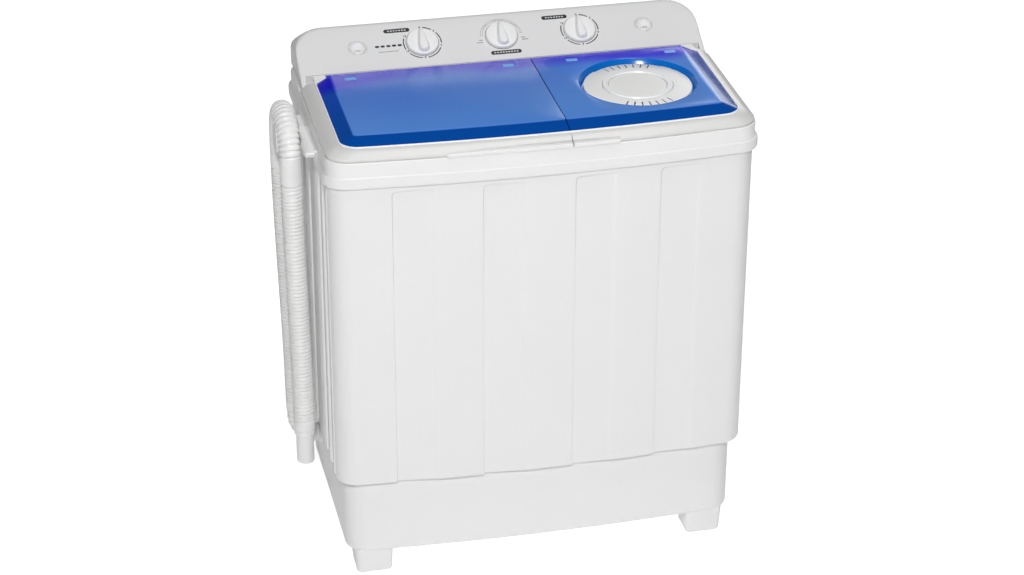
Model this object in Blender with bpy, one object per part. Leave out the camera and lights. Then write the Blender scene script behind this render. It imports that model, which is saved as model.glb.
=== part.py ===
"""Twin tub washing machine: wash tub on the left, spin basket on the right, drain hose on the left side.

Metres, +Z up, +X to the machine's right, -Y to its front. The origin is on the floor under the middle
of the casing. Run with: blender --background --python part.py
"""
import math

import bmesh
import bpy
from mathutils import Matrix, Quaternion, Vector

# ---------------------------------------------------------------- driving dimensions
GAP = 0.0003                 # between pieces that touch
WALL = 0.003                 # moulded plastic wall

HALF_DEPTH = 0.2145          # rim, front to back
RIM_HALF_WIDTH = 0.3475
FLANGE_HALF_WIDTH = 0.352    # bulge of the rim along both sides
CABINET_HALF_WIDTH = 0.345
CABINET_FRONT = -0.2095
CABINET_BACK = 0.2035
BASE_HALF_WIDTH = 0.331
BASE_FRONT = -0.196
BASE_BACK = 0.194
FRONT_BOW = 0.0165           # how far the front falls back from its middle to its corners
CORNER_RADIUS = 0.034

PAD_TOP = 0.004
FOOT_HEIGHT = 0.048
FOOT_WIDTH = 0.064
FOOT_OUTER = 0.3175
FOOT_DEPTH = 0.060
BASE_TOP = 0.184
CABINET_BOTTOM = 0.186
RIM_BOTTOM = 0.7255
RIM_FLANGE_TOP = 0.746
DECK_TOP = 0.7705
DECK_THICKNESS = 0.004

PLEAT_STEPS = (-0.248, -0.104, 0.0445, 0.1845)    # left edge of each pleat
PLEAT_WIDTH = 0.067
PLEAT_DEPTH = 0.005
PLEAT_TOP = 0.716

CONSOLE_HALF_WIDTH = 0.342
CONSOLE_TILT = math.radians(29.5)
CONSOLE_FRONT = 0.0816       # front edge of the sloped panel, at the deck
CONSOLE_RUN = 0.134          # length of the sloped panel, up the slope
CONSOLE_CORNER = 0.050       # round top corners, seen square to the panel
CONSOLE_BACK = 0.2125
LID_NOTCH_BACK = 0.1118      # vertical wall behind the lids
CONTROL_S = 0.083            # how far up the panel the knobs and inlets stand
KNOB_X = (-0.130, 0.004, 0.138)
INLET_X = (-0.239, 0.249)
KNOB_RADIUS = 0.027
KNOB_HEIGHT = 0.017
SHAFT_RADIUS = 0.003
INLET_RADIUS = 0.0155

LID_SPLIT = 0.038
LID_BOTTOM = DECK_TOP + 0.0006
LID_HALF_WIDTH = 0.3455
LID_FRONT = -0.2135
LID_EDGE_Z = 0.776
WINDOW_HALF_WIDTH = 0.3208
WINDOW_FRONT = -0.191
WINDOW_Z = 0.788
WINDOW_SHEET = 0.0025
LID_BACK = 0.107
DOME_Z = 0.796
DOME_INSET_SIDE = 0.029
DOME_INSET_FRONT = 0.024
DOME_INSET_BACK = 0.001
BACK_STRIP = 0.019           # flat strip of the windows over the hinges
GRIP_X = (-0.162, 0.115)
GRIP_Z = (0.7700, 0.7805)
GRIP_DEPTH = 0.008
HINGE_Y = 0.1035
HINGE_Z = 0.7815
HINGE_X = (-0.266, -0.004, 0.103, 0.271)
HINGE_PIN_RADIUS = 0.0018
HINGE_EAR_RADIUS = 0.0034
HINGE_BOSS_WIDTH = 0.014
HINGE_EAR_WIDTH = 0.004

SPIN_CENTRE = (0.188, -0.040)
WASH_CENTRE = (-0.147, -0.040)
VENT_CENTRE = (0.186, -0.044)
VENT_RADIUS = 0.0905
TUB_FLOOR = 0.300
TUB_WALL = 0.003
WASH_TUB_X = (-0.322, 0.026)
WASH_TUB_Y = (-0.187, 0.098)
CHAMBER_RADIUS = 0.134
SPIN_MOUTH_RADIUS = 0.128
BASKET_RADIUS = 0.116
BASKET_BOTTOM = 0.345
BASKET_TOP = 0.700
PULSATOR_RADIUS = 0.108
PULSATOR_PULLEY_RADIUS = 0.070
MOTOR_PULLEY_RADIUS = 0.018
WASH_MOTOR_CENTRE = (0.010, -0.085)
PULLEY_Z = (0.226, 0.240)
VALVE_CENTRE = (-0.020, 0.062)
SPIN_DRAIN = (0.100, 0.030)
MOUNT_ANGLES = (90, 210, 330)
BRAKE_PIN_RADIUS = 0.0545    # from the drum's axis to the pin
BRAKE_PIN_ANGLE = 170
DRAIN_Y = 0.082
DRAIN_Z = 0.130
GLAND_X = 0.220              # mains cord's gland in the rear panel
GLAND_Z = 0.240

HOSE_RADIUS = 0.018
HOSE_X = -0.382               # of the arch; both runs lean in towards the cabinet from there
HOSE_BACK_FOOT_X = -0.3735
HOSE_FRONT_FOOT_X = -0.376
HOSE_BACK_Y = 0.082
HOSE_FRONT_Y = -0.034
ELBOW_RADIUS = 0.040
HOSE_BACK_Z = (0.1985, 0.675)
HOSE_FRONT_Z = (0.2255, 0.669)
ARCH_Z = 0.706
HOSE_END_Z = 0.148

# ---------------------------------------------------------------- scene and materials
for old in list(bpy.data.objects):
    bpy.data.objects.remove(old, do_unlink=True)


def material(name, colour, roughness=0.4, metallic=0.0, alpha=1.0):
    mat = bpy.data.materials.new(name)
    mat.use_nodes = True
    shader = mat.node_tree.nodes["Principled BSDF"]
    shader.inputs["Base Color"].default_value = (*colour, 1.0)
    shader.inputs["Roughness"].default_value = roughness
    shader.inputs["Metallic"].default_value = metallic
    shader.inputs["Alpha"].default_value = alpha
    return mat


WHITE = material("white_plastic", (0.85, 0.85, 0.85), 0.35)
INNER = material("inner_plastic", (0.80, 0.82, 0.84), 0.30)
BLUE = material("blue_window", (0.03, 0.20, 0.62), 0.12, alpha=0.7)
HOSE = material("hose_plastic", (0.76, 0.76, 0.76), 0.45)
RUBBER = material("black_rubber", (0.03, 0.03, 0.03), 0.8)
STEEL = material("plated_steel", (0.60, 0.60, 0.62), 0.3, 1.0)
MOTOR = material("motor_steel", (0.30, 0.31, 0.33), 0.5, 0.8)
NYLON = material("grey_nylon", (0.55, 0.56, 0.58), 0.5)

ROOT = bpy.data.objects.new("washer", None)
bpy.context.collection.objects.link(ROOT)


# ---------------------------------------------------------------- tools
def add(name, bm, mat, smooth=True):
    """Turn a closed bmesh into a named object of the washer."""
    bmesh.ops.recalc_face_normals(bm, faces=bm.faces)
    mesh = bpy.data.meshes.new(name)
    bm.to_mesh(mesh)
    bm.free()
    if smooth:
        mesh.shade_smooth()
        mesh.set_sharp_from_angle(angle=math.radians(35))
    mesh.materials.append(mat)
    obj = bpy.data.objects.new(name, mesh)
    bpy.context.collection.objects.link(obj)
    obj.parent = ROOT
    return obj


def loft(name, loops, mat, ring=False, smooth=True):
    """Skin equal loops of points in turn; the ends are capped, or joined to each other for a ring."""
    bm = bmesh.new()
    rows = [[bm.verts.new(p) for p in loop] for loop in loops]
    pairs = list(zip(rows, rows[1:]))
    if ring:
        pairs.append((rows[-1], rows[0]))
    for low, high in pairs:
        for i in range(len(low)):
            j = (i + 1) % len(low)
            bm.faces.new((low[i], low[j], high[j], high[i]))
    if not ring:
        bm.faces.new(rows[0])
        bm.faces.new(rows[-1])
    return add(name, bm, mat, smooth)


def box(name, low, high, mat=None):
    loops = [[(x, y, z) for x, y in ((low[0], low[1]), (high[0], low[1]), (high[0], high[1]),
                                     (low[0], high[1]))] for z in (low[2], high[2])]
    return loft(name, loops, mat or WHITE, smooth=False)


def circle(radius, z, centre=(0.0, 0.0), steps=32):
    return [(centre[0] + radius * math.cos(math.tau * i / steps),
             centre[1] + radius * math.sin(math.tau * i / steps), z) for i in range(steps)]


def turned(name, profile, mat, centre=(0.0, 0.0), steps=32, ring=False):
    """Turn a profile of (radius, z) about a vertical axis; a ring's profile is a closed outline."""
    return loft(name, [circle(r, z, centre, steps) for r, z in profile], mat, ring)


def rounded(x0, x1, y0, y1, radius, z, steps=5, bow=0.0, front_steps=8):
    """A rounded rectangle whose front edge bows: it falls back by bow at the casing's full half width."""
    corners = ((x0 + radius, y0 + radius, 180), (x1 - radius, y0 + radius, 270),
               (x1 - radius, y1 - radius, 0), (x0 + radius, y1 - radius, 90))
    points = []
    for number, (cx, cy, start) in enumerate(corners):
        for i in range(steps + 1):
            angle = math.radians(start + 90 * i / steps)
            points.append((cx + radius * math.cos(angle), cy + radius * math.sin(angle)))
        if number == 0:
            for i in range(1, front_steps):
                points.append((x0 + radius + (x1 - x0 - 2 * radius) * i / front_steps, y0))
    return [(x, bowed(x, y, bow), z) for x, y in points]


def bowed(x, y, bow):
    """Fall back by bow * (x / half width)^2 at the front, by nothing in the rear half."""
    weight = max(-y, 0.0) / HALF_DEPTH
    return y + bow * (x / CABINET_HALF_WIDTH) ** 2 * weight


def boolean(obj, tools, operation="DIFFERENCE"):
    """Cut the tools out of obj, or join them to it, and remove them."""
    for tool in tools:
        mod = obj.modifiers.new(tool.name, "BOOLEAN")
        mod.operation = operation
        mod.solver = "EXACT"
        mod.object = tool
    bpy.context.view_layer.update()
    graph = bpy.context.evaluated_depsgraph_get()
    mesh = bpy.data.meshes.new_from_object(obj.evaluated_get(graph))
    obj.modifiers.clear()
    obj.data = mesh
    for tool in tools:
        bpy.data.objects.remove(tool, do_unlink=True)
    return obj


def join(obj, tools):
    return boolean(obj, tools, "UNION")


def moved(obj, matrix):
    obj.data.transform(matrix)
    return obj


def tube(name, points, radius, mat, steps=12):
    """A round bar along points, as a poly curve with filled caps."""
    curve = bpy.data.curves.new(name, "CURVE")
    curve.dimensions = "3D"
    curve.bevel_depth = radius
    curve.bevel_resolution = steps // 4
    curve.use_fill_caps = True
    spline = curve.splines.new("POLY")
    spline.points.add(len(points) - 1)
    for point, place in zip(spline.points, points):
        point.co = (*place, 1.0)
    curve.materials.append(mat)
    obj = bpy.data.objects.new(name, curve)
    bpy.context.collection.objects.link(obj)
    obj.parent = ROOT
    return obj


def solid_tube(name, points, radius, mat, steps=12):
    """The same bar as a mesh, for pieces that are cut or joined afterwards."""
    rings = []
    heading = Vector((0, 0, 1))
    turn = Quaternion()
    for i, place in enumerate(points):
        before = Vector(points[max(i - 1, 0)])
        after = Vector(points[min(i + 1, len(points) - 1)])
        turn = heading.rotation_difference(after - before) @ turn
        heading = (after - before).normalized()
        rings.append([tuple(Vector(place) + turn @ Vector(p)) for p in circle(radius, 0.0, steps=steps)])
    return loft(name, rings, mat)


def along_x(x, y, z):
    """Matrix that lays a turned piece along X, with its middle at the point."""
    return Matrix.Translation((x, y, z)) @ Matrix.Rotation(math.pi / 2, 4, "Y")


def along_y(x, y, z):
    """Matrix that lays a turned piece along Y, its profile running backwards."""
    return Matrix.Translation((x, y, z)) @ Matrix.Rotation(-math.pi / 2, 4, "X")


def about(centre, degrees, z=0.0):
    """Matrix of a turn about the vertical axis through centre."""
    return Matrix.Translation((*centre, z)) @ Matrix.Rotation(math.radians(degrees), 4, "Z")


def cylinder(name, radius, low, high, mat=None, centre=(0.0, 0.0), steps=16):
    """A plain round bar or cutter."""
    return turned(name, [(radius, low), (radius, high)], mat or WHITE, centre, steps)


def on_panel(x, s, lift=0.0):
    """Matrix of a point on the console's panel: Z square to it, Y up the slope."""
    y = CONSOLE_FRONT + s * math.cos(CONSOLE_TILT) - lift * math.sin(CONSOLE_TILT)
    z = DECK_TOP + GAP + s * math.sin(CONSOLE_TILT) + lift * math.cos(CONSOLE_TILT)
    return Matrix.Translation((x, y, z)) @ Matrix.Rotation(CONSOLE_TILT, 4, "X")


# ---------------------------------------------------------------- casing
def base():
    def loop(inset, z):
        return rounded(-BASE_HALF_WIDTH + inset, BASE_HALF_WIDTH - inset, BASE_FRONT + inset,
                       BASE_BACK - inset, CORNER_RADIUS - inset, z, bow=FRONT_BOW)
    tray = loft("base", [loop(0.006, FOOT_HEIGHT), loop(0, FOOT_HEIGHT + 0.006), loop(0, BASE_TOP),
                         loop(WALL, BASE_TOP), loop(WALL, FOOT_HEIGHT + 0.006)], WHITE)
    feet = []
    for side in (-1, 1):
        for front in (True, False):
            x0, x1 = sorted((side * FOOT_OUTER, side * (FOOT_OUTER - FOOT_WIDTH)))
            y0 = BASE_FRONT + 0.014 if front else BASE_BACK - 0.006 - FOOT_DEPTH
            loops = [rounded(x0, x1, y0, y0 + FOOT_DEPTH, 0.010, z, 3, 0, 1)
                     for z in (PAD_TOP, FOOT_HEIGHT + 0.004)]
            feet.append(loft("foot", loops, WHITE))
    return join(tray, feet)


def foot_pads():
    for side, side_name in ((-1, "left"), (1, "right")):
        for y, end in ((BASE_FRONT + 0.044, "front"), (BASE_BACK - 0.036, "rear")):
            centre = (side * (FOOT_OUTER - FOOT_WIDTH / 2), y)
            turned(f"foot_pad_{end}_{side_name}", [(0.017, 0), (0.0185, PAD_TOP - GAP)], RUBBER, centre, 20)


def cabinet_outline(inset, z, depth):
    """The casing's plan: bowed front with four pleats, each a step back that runs out to its right."""
    hw = CABINET_HALF_WIDTH - inset
    front = CABINET_FRONT + inset
    back = CABINET_BACK - inset
    radius = CORNER_RADIUS - inset
    points = []
    for i in range(7):
        angle = math.radians(180 + 90 * i / 6)
        points.append((-hw + radius + radius * math.cos(angle), front + radius + radius * math.sin(angle)))
    for step in PLEAT_STEPS:
        points.append((step, front))
        points.append((step + 0.0015, front + depth))
        points.append((step + PLEAT_WIDTH, front))
    for i in range(7):
        angle = math.radians(270 + 90 * i / 6)
        points.append((hw - radius + radius * math.cos(angle), front + radius + radius * math.sin(angle)))
    points += [(hw, back), (-hw, back)]
    return [(x, bowed(x, y, FRONT_BOW), z) for x, y in points]


def cabinet():
    heights = ((CABINET_BOTTOM, PLEAT_DEPTH), (PLEAT_TOP, PLEAT_DEPTH), (PLEAT_TOP + 0.001, 0.0),
               (RIM_BOTTOM - GAP, 0.0))
    outside = [cabinet_outline(0, z, depth) for z, depth in heights]
    inside = [cabinet_outline(WALL, z, depth) for z, depth in reversed(heights)]
    shell = loft("cabinet", outside + inside, WHITE, ring=True)
    window = box("cut", (-0.290, CABINET_BACK - 0.02, 0.215), (0.290, CABINET_BACK + 0.01, 0.690))
    return boolean(shell, [window])


def rear_panel():
    y = CABINET_BACK + GAP
    plate = box("rear_panel", (-0.305, y, 0.200), (0.305, y + 0.0025, 0.704))
    slots = []
    for i in range(6):
        z = 0.250 + 0.022 * i
        slots.append(box("cut_slot", (-0.060, y - 0.01, z), (0.060, y + 0.01, z + 0.008)))
    gland = moved(cylinder("cut_gland", 0.009, -0.02, 0.02), along_y(GLAND_X, y, GLAND_Z))
    return boolean(plate, slots + [gland])


def cord_gland():
    y = CABINET_BACK + GAP
    profile = [(0.0045, -0.010), (0.0085, -0.010), (0.0085, 0.0028), (0.013, 0.0031), (0.012, 0.009),
               (0.0045, 0.009)]
    gland = turned("cord_gland", profile, RUBBER, steps=16, ring=True)
    return moved(gland, along_y(GLAND_X, y, GLAND_Z))


def top_frame():
    def loop(half_width, y_inset, z, radius=CORNER_RADIUS):
        return rounded(-half_width, half_width, -HALF_DEPTH + y_inset, HALF_DEPTH - y_inset, radius, z,
                       bow=FRONT_BOW)
    inner_hw = RIM_HALF_WIDTH - WALL
    loops = [loop(inner_hw, WALL, DECK_TOP - DECK_THICKNESS, 0.031), loop(inner_hw, WALL, RIM_BOTTOM, 0.031),
             loop(FLANGE_HALF_WIDTH - 0.002, 0.0015, RIM_BOTTOM),
             loop(FLANGE_HALF_WIDTH, 0.0005, RIM_BOTTOM + 0.004),
             loop(FLANGE_HALF_WIDTH, 0, RIM_FLANGE_TOP - 0.003),
             loop(RIM_HALF_WIDTH, 0.0005, RIM_FLANGE_TOP),
             loop(RIM_HALF_WIDTH, 0.0005, DECK_TOP - 0.002), loop(RIM_HALF_WIDTH - 0.002, 0.0025, DECK_TOP)]
    frame = loft("top_frame", loops, WHITE)
    low, high = 0.70, 0.80
    x0, x1 = WASH_TUB_X
    y0, y1 = WASH_TUB_Y
    edge = TUB_WALL + 0.001
    wash = loft("cut_wash", [rounded(x0 + edge, x1 - edge, y0 + edge, y1 - edge, 0.040, z, front_steps=1)
                             for z in (low, high)], WHITE)
    spin = cylinder("cut_spin", SPIN_MOUTH_RADIUS, low, high, centre=SPIN_CENTRE, steps=36)
    well = box("cut_well", (-0.315, 0.124, low), (0.315, 0.198, high))
    return boolean(frame, [wash, spin, well])


# ---------------------------------------------------------------- console
def console_section(x, inset, below=0.0):
    """Section of the console at x: sloped front, rounded top, upright back; it reaches below the deck."""
    floor = DECK_TOP + GAP
    end = CONSOLE_HALF_WIDTH - inset
    radius = CONSOLE_CORNER - inset
    into = max(abs(x) - (end - radius), 0.0) / radius
    drop = radius * (1 - math.sqrt(max(1 - into ** 2, 0.0)))
    run = CONSOLE_RUN - inset - drop
    cos_t, sin_t = math.cos(CONSOLE_TILT), math.sin(CONSOLE_TILT)
    front = CONSOLE_FRONT + inset / sin_t
    crest = (front + (run - 0.010) * cos_t, floor + (run - 0.010) * sin_t)
    back = CONSOLE_BACK - inset
    top = floor + run * sin_t + 0.003
    round_over = [(min(crest[0] + 0.010, back - 0.006), top - 0.0015), (back - 0.004, top - 0.003)]
    outline = [(front - below / math.tan(CONSOLE_TILT), floor - below), crest, *round_over,
               (back, top - 0.008), (back, floor - below)]
    return [(x, y, z) for y, z in outline]


def console_stations(inset):
    end = CONSOLE_HALF_WIDTH - inset
    radius = CONSOLE_CORNER - inset
    arc = [end - radius * (1 - math.sin(math.radians(a))) for a in (0, 20, 40, 60, 80, 90)]
    return [-x for x in reversed(arc)] + arc


def console():
    shell = loft("console", [console_section(x, 0) for x in console_stations(0)], WHITE)
    hollow = loft("cut_hollow", [console_section(x, WALL, 0.001) for x in console_stations(WALL)], WHITE)
    notch = box("cut_notch", (-0.3330, 0.070, 0.760), (0.3330, LID_NOTCH_BACK, 0.800))
    shell = boolean(shell, [notch])
    wall = box("cut_front", (-0.33, 0.070, 0.760), (0.33, LID_NOTCH_BACK + WALL, 0.790))
    hollow = boolean(hollow, [wall])
    holes = [(x, SHAFT_RADIUS + 0.002) for x in KNOB_X] + [(x, INLET_RADIUS + GAP) for x in INLET_X]
    cutters = [moved(cylinder("cut_hole", r, -0.01, 0.01), on_panel(x, CONTROL_S)) for x, r in holes]
    return boolean(shell, [hollow] + cutters)


def inlet(name, x):
    """A recessed port in the panel with an oval water nozzle at its bottom."""
    profile = [(0.0100, 0.0012), (0.0120, -0.010), (0.0100, -0.013), (0.0070, -0.016), (0.0070, -0.030),
               (0.0095, -0.030), (0.0095, -0.0172), (0.0152, -0.0125), (INLET_RADIUS, 0.0),
               (INLET_RADIUS + 0.001, 0.0004), (INLET_RADIUS, 0.0014)]
    port = turned(name, profile, WHITE, steps=16, ring=True)
    return moved(port, on_panel(x, CONTROL_S))


def control(prefix, mechanism, x, half_size, depth):
    """A knob, its shaft and the mechanism under the panel."""
    body = box(mechanism, (-half_size, -half_size, -depth), (half_size, half_size, -WALL - GAP), NYLON)
    boolean(body, [cylinder("cut_bore", SHAFT_RADIUS + GAP, -depth + 0.008, 0.01)])
    moved(body, on_panel(x, CONTROL_S))
    shaft = cylinder(f"{prefix}_shaft", SHAFT_RADIUS, -depth + 0.009, 0.010, STEEL)
    moved(shaft, on_panel(x, CONTROL_S))
    r = KNOB_RADIUS
    skirt = turned(f"{prefix}_knob", [(r - 0.001, 0.0010), (r, 0.003), (r - 0.0015, 0.0075),
                                      (r - 0.005, 0.009)], WHITE, steps=24)
    teardrop = ((0.0055, 0.78), (-0.0055, 0.78), (-0.0095, -0.50), (-0.0055, -0.80), (0.0055, -0.80),
                (0.0095, -0.50))
    grip = loft("grip", [[(x * k, r * y * k, z) for x, y in teardrop]
                         for k, z in ((1, 0.008), (0.85, KNOB_HEIGHT))], WHITE)
    knob = join(skirt, [grip])
    boolean(knob, [cylinder("cut_socket", SHAFT_RADIUS + GAP, -0.01, 0.0104)])
    return moved(knob, on_panel(x, CONTROL_S))


# ---------------------------------------------------------------- lids
def lid_frame(name, x0, x1):
    """White apron of one lid: it runs along the front and the outer side and slopes up to the window."""
    def loop(inset, front, z):
        return rounded(-LID_HALF_WIDTH + inset, LID_HALF_WIDTH - inset, front, 0.150, 0.034 - inset / 2, z,
                       bow=FRONT_BOW)
    slope = LID_HALF_WIDTH - WINDOW_HALF_WIDTH
    slab = loft(name, [loop(0.001, LID_FRONT + 0.001, LID_BOTTOM), loop(0, LID_FRONT, LID_BOTTOM + 0.0015),
                       loop(0, LID_FRONT, LID_EDGE_Z), loop(0.002, LID_FRONT + 0.002, LID_EDGE_Z + 0.002),
                       loop(slope, WINDOW_FRONT, WINDOW_Z - 0.0005)], WHITE)
    opening = loft("cut_window", [rounded(-WINDOW_HALF_WIDTH, WINDOW_HALF_WIDTH, WINDOW_FRONT, 0.20, 0.016, z,
                                          bow=FRONT_BOW) for z in (0.76, 0.80)], WHITE)
    low, high = ((x1, -0.3, 0.7), (0.5, 0.3, 0.9)) if x0 < -0.3 else ((-0.5, -0.3, 0.7), (x0, 0.3, 0.9))
    side = box("cut_side", low, high)
    grip = box("cut_grip", (GRIP_X[0], LID_FRONT - 0.01, GRIP_Z[0]),
               (GRIP_X[1], LID_FRONT + GRIP_DEPTH, GRIP_Z[1] - 0.003))
    return boolean(slab, [opening, side, wedge_behind(), grip])


def wedge_behind():
    """Everything behind a plane that stands 1.2 mm in front of the console's sloped face."""
    cos_t, sin_t = math.cos(CONSOLE_TILT), math.sin(CONSOLE_TILT)
    y = CONSOLE_FRONT - 0.0012 / sin_t
    low = (y - 0.02 * cos_t, DECK_TOP - 0.02 * sin_t)
    high = (y + 0.10 * cos_t, DECK_TOP + 0.10 * sin_t)
    outline = [low, high, (0.4, high[1]), (0.4, low[1])]
    return loft("cut_console", [[(x, y, z) for y, z in outline] for x in (-0.5, 0.5)], WHITE)


def lid_window(name, x0, x1, hinges):
    """Translucent sheet of one lid with a raised field and two hinge bosses on its back edge."""
    left_outer = x0 < -0.3
    in_left = DOME_INSET_SIDE if left_outer else 0.012
    in_right = 0.012 if left_outer else DOME_INSET_SIDE

    def loop(k, inset, z, strip=0.0):
        return rounded(x0 + inset + in_left * k, x1 - inset - in_right * k,
                       WINDOW_FRONT + GAP + inset + DOME_INSET_FRONT * k,
                       LID_BACK - inset - strip - DOME_INSET_BACK * k, 0.0163, z, 4, FRONT_BOW, 6)
    low = WINDOW_Z - WINDOW_SHEET
    sheet = loft(name, [loop(1, 0.001, DOME_Z - WINDOW_SHEET, BACK_STRIP), loop(0, 0.003, low, BACK_STRIP),
                        loop(0, 0, low), loop(0, 0, WINDOW_Z), loop(0, 0.0005, WINDOW_Z, BACK_STRIP),
                        loop(1, 0, DOME_Z, BACK_STRIP)], BLUE)
    bosses = []
    for x in hinges:
        half = HINGE_BOSS_WIDTH / 2
        boss = cylinder("boss", HINGE_EAR_RADIUS, -half, half, BLUE)
        web = box("web", (x - half, HINGE_Y - 0.003, HINGE_Z), (x + half, HINGE_Y + 0.003, low + 0.001), BLUE)
        bosses.append(join(moved(boss, along_x(x, HINGE_Y, HINGE_Z)), [web]))
    sheet = join(sheet, bosses)
    bores = [moved(cylinder("cut_bore", HINGE_PIN_RADIUS + GAP, -0.02, 0.02, steps=12),
                   along_x(x, HINGE_Y, HINGE_Z)) for x in hinges]
    return boolean(sheet, bores)


def lid_hinge(name, x):
    """A bracket on the deck: two ears with a moulded pin between them."""
    half = HINGE_BOSS_WIDTH / 2 + GAP + 0.0003
    foot = box(name, (x - half - HINGE_EAR_WIDTH, HINGE_Y - 0.005, DECK_TOP + GAP),
               (x + half + HINGE_EAR_WIDTH, HINGE_Y + 0.005, DECK_TOP + 0.0035), NYLON)
    pieces = []
    ear_half = HINGE_EAR_WIDTH / 2
    for side in (-1, 1):
        centre = x + side * (half + ear_half)
        ear = cylinder("ear", HINGE_EAR_RADIUS, -ear_half, ear_half, NYLON)
        pieces.append(moved(ear, along_x(centre, HINGE_Y, HINGE_Z)))
        pieces.append(box("post", (centre - ear_half, HINGE_Y - 0.0030, DECK_TOP + 0.002),
                          (centre + ear_half, HINGE_Y + 0.0030, HINGE_Z), NYLON))
    pin = cylinder("pin", HINGE_PIN_RADIUS, -half - 0.002, half + 0.002, NYLON, steps=12)
    pieces.append(moved(pin, along_x(x, HINGE_Y, HINGE_Z)))
    return join(foot, pieces)


def spin_vent_cap():
    """Round slotted vent in the spin lid, with a raised ring."""
    z = DOME_Z
    profile = [(VENT_RADIUS - 0.004, z - 0.006), (VENT_RADIUS, z - 0.005), (VENT_RADIUS, z - 0.001),
               (VENT_RADIUS - 0.001, z), (0.060, z), (0.058, z + 0.0015), (0.050, z + 0.0015), (0.049, z)]
    cap = turned("spin_vent_cap", profile, WHITE, VENT_CENTRE, 32)
    slots = []
    for i in range(-2, 2):
        for side in (90, 270):
            slot = box("cut_slot", (0.066, -0.0010, -0.01), (0.080, 0.0010, 0.01))
            slots.append(moved(slot, about(VENT_CENTRE, side + (i + 0.5) * 14, z)))
    return boolean(cap, slots)


# ---------------------------------------------------------------- wash side
def wash_tub():
    x0, x1 = WASH_TUB_X
    y0, y1 = WASH_TUB_Y
    flange_z = DECK_TOP - DECK_THICKNESS - GAP

    def loop(grow, z, taper=0.0):
        return rounded(x0 - grow + taper, x1 + grow - taper, y0 - grow + taper, y1 + grow - taper,
                       0.045 + grow, z, 5, 0, 1)
    loops = [loop(0, TUB_FLOOR, 0.012), loop(0, flange_z - 0.003), loop(0.008, flange_z - 0.003),
             loop(0.008, flange_z), loop(-TUB_WALL, flange_z), loop(-TUB_WALL, TUB_FLOOR + TUB_WALL, 0.012)]
    tub = loft("wash_tub", loops, INNER)
    hole = cylinder("cut_bearing", 0.0135, 0.28, 0.32, centre=WASH_CENTRE, steps=24)
    drain = cylinder("cut_drain", 0.014, 0.28, 0.32, centre=VALVE_CENTRE)
    return boolean(tub, [hole, drain])


def pulsator():
    r = PULSATOR_RADIUS
    z = TUB_FLOOR + TUB_WALL
    disc = turned("pulsator", [(r - 0.004, z + 0.0035), (r, z + 0.006), (r - 0.002, z + 0.010),
                               (0.060, z + 0.014), (0.030, z + 0.028), (0.018, z + 0.036)],
                  WHITE, WASH_CENTRE, 32)
    vanes = []
    for i in range(4):
        vane = box("vane", (0.020, -0.005, z + 0.008), (r - 0.010, 0.005, z + 0.024))
        vanes.append(moved(vane, about(WASH_CENTRE, 45 + 90 * i)))
    join(disc, vanes)
    return boolean(disc, [cylinder("cut_socket", 0.0066, z - 0.01, z + 0.0283, centre=WASH_CENTRE)])


def wash_drive():
    low, high = PULLEY_Z
    cylinder("pulsator_shaft", 0.006, low - 0.008, TUB_FLOOR + TUB_WALL + 0.028, STEEL, WASH_CENTRE)
    turned("pulsator_bearing", [(0.0063, high + 0.004), (0.024, high + 0.004), (0.024, TUB_FLOOR - 0.012),
                                (0.034, TUB_FLOOR - 0.010), (0.034, TUB_FLOOR - GAP),
                                (0.013, TUB_FLOOR - GAP), (0.013, TUB_FLOOR + TUB_WALL + 0.002),
                                (0.0063, TUB_FLOOR + TUB_WALL + 0.002)], NYLON, WASH_CENTRE, 16, ring=True)
    pulley("pulsator_pulley", PULSATOR_PULLEY_RADIUS, 0.0063, WASH_CENTRE, 28)
    pulley("motor_pulley", MOTOR_PULLEY_RADIUS, 0.0053, WASH_MOTOR_CENTRE, 16)
    cx, cy = WASH_MOTOR_CENTRE
    can = turned("wash_motor", [(0.040, 0.092), (0.054, 0.096), (0.054, 0.184), (0.040, 0.190),
                                (0.014, 0.190), (0.014, 0.198), (0.005, 0.198), (0.005, high + 0.004)],
                 MOTOR, WASH_MOTOR_CENTRE, 20)
    join(can, [box("foot", (cx - 0.066, cy - 0.012, 0.100), (cx + 0.066, cy + 0.012, 0.106))])
    drive_belt()


def pulley(name, radius, bore, centre, steps):
    low, high = PULLEY_Z
    mid = (low + high) / 2
    turned(name, [(bore, low), (radius, low), (radius, low + 0.0015), (radius - 0.006, mid - 0.003),
                  (radius - 0.006, mid + 0.003), (radius, high - 0.0015), (radius, high), (bore, high)],
           NYLON, centre, steps, ring=True)


def drive_belt():
    """A flat loop round both pulleys: two arcs joined by their outer tangents."""
    mid = sum(PULLEY_Z) / 2
    big, small = Vector(WASH_CENTRE), Vector(WASH_MOTOR_CENTRE)
    span = small - big
    heading = math.atan2(span.y, span.x)

    def outline(offset, z):
        r1 = PULSATOR_PULLEY_RADIUS - 0.006 + offset
        r2 = MOTOR_PULLEY_RADIUS - 0.006 + offset
        wrap = math.acos((r1 - r2) / span.length)
        points = []
        for centre, r, start, stop in ((big, r1, heading + wrap, heading + math.tau - wrap),
                                       (small, r2, heading - wrap, heading + wrap)):
            for i in range(13):
                a = start + (stop - start) * i / 12
                points.append((centre.x + r * math.cos(a), centre.y + r * math.sin(a), z))
        return points
    inner, outer = 0.0012, 0.0048
    loft("drive_belt", [outline(o, mid + h) for o, h in ((inner, -0.0025), (outer, -0.0025), (outer, 0.0025),
                                                         (inner, 0.0025))], RUBBER, ring=True)


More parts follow.
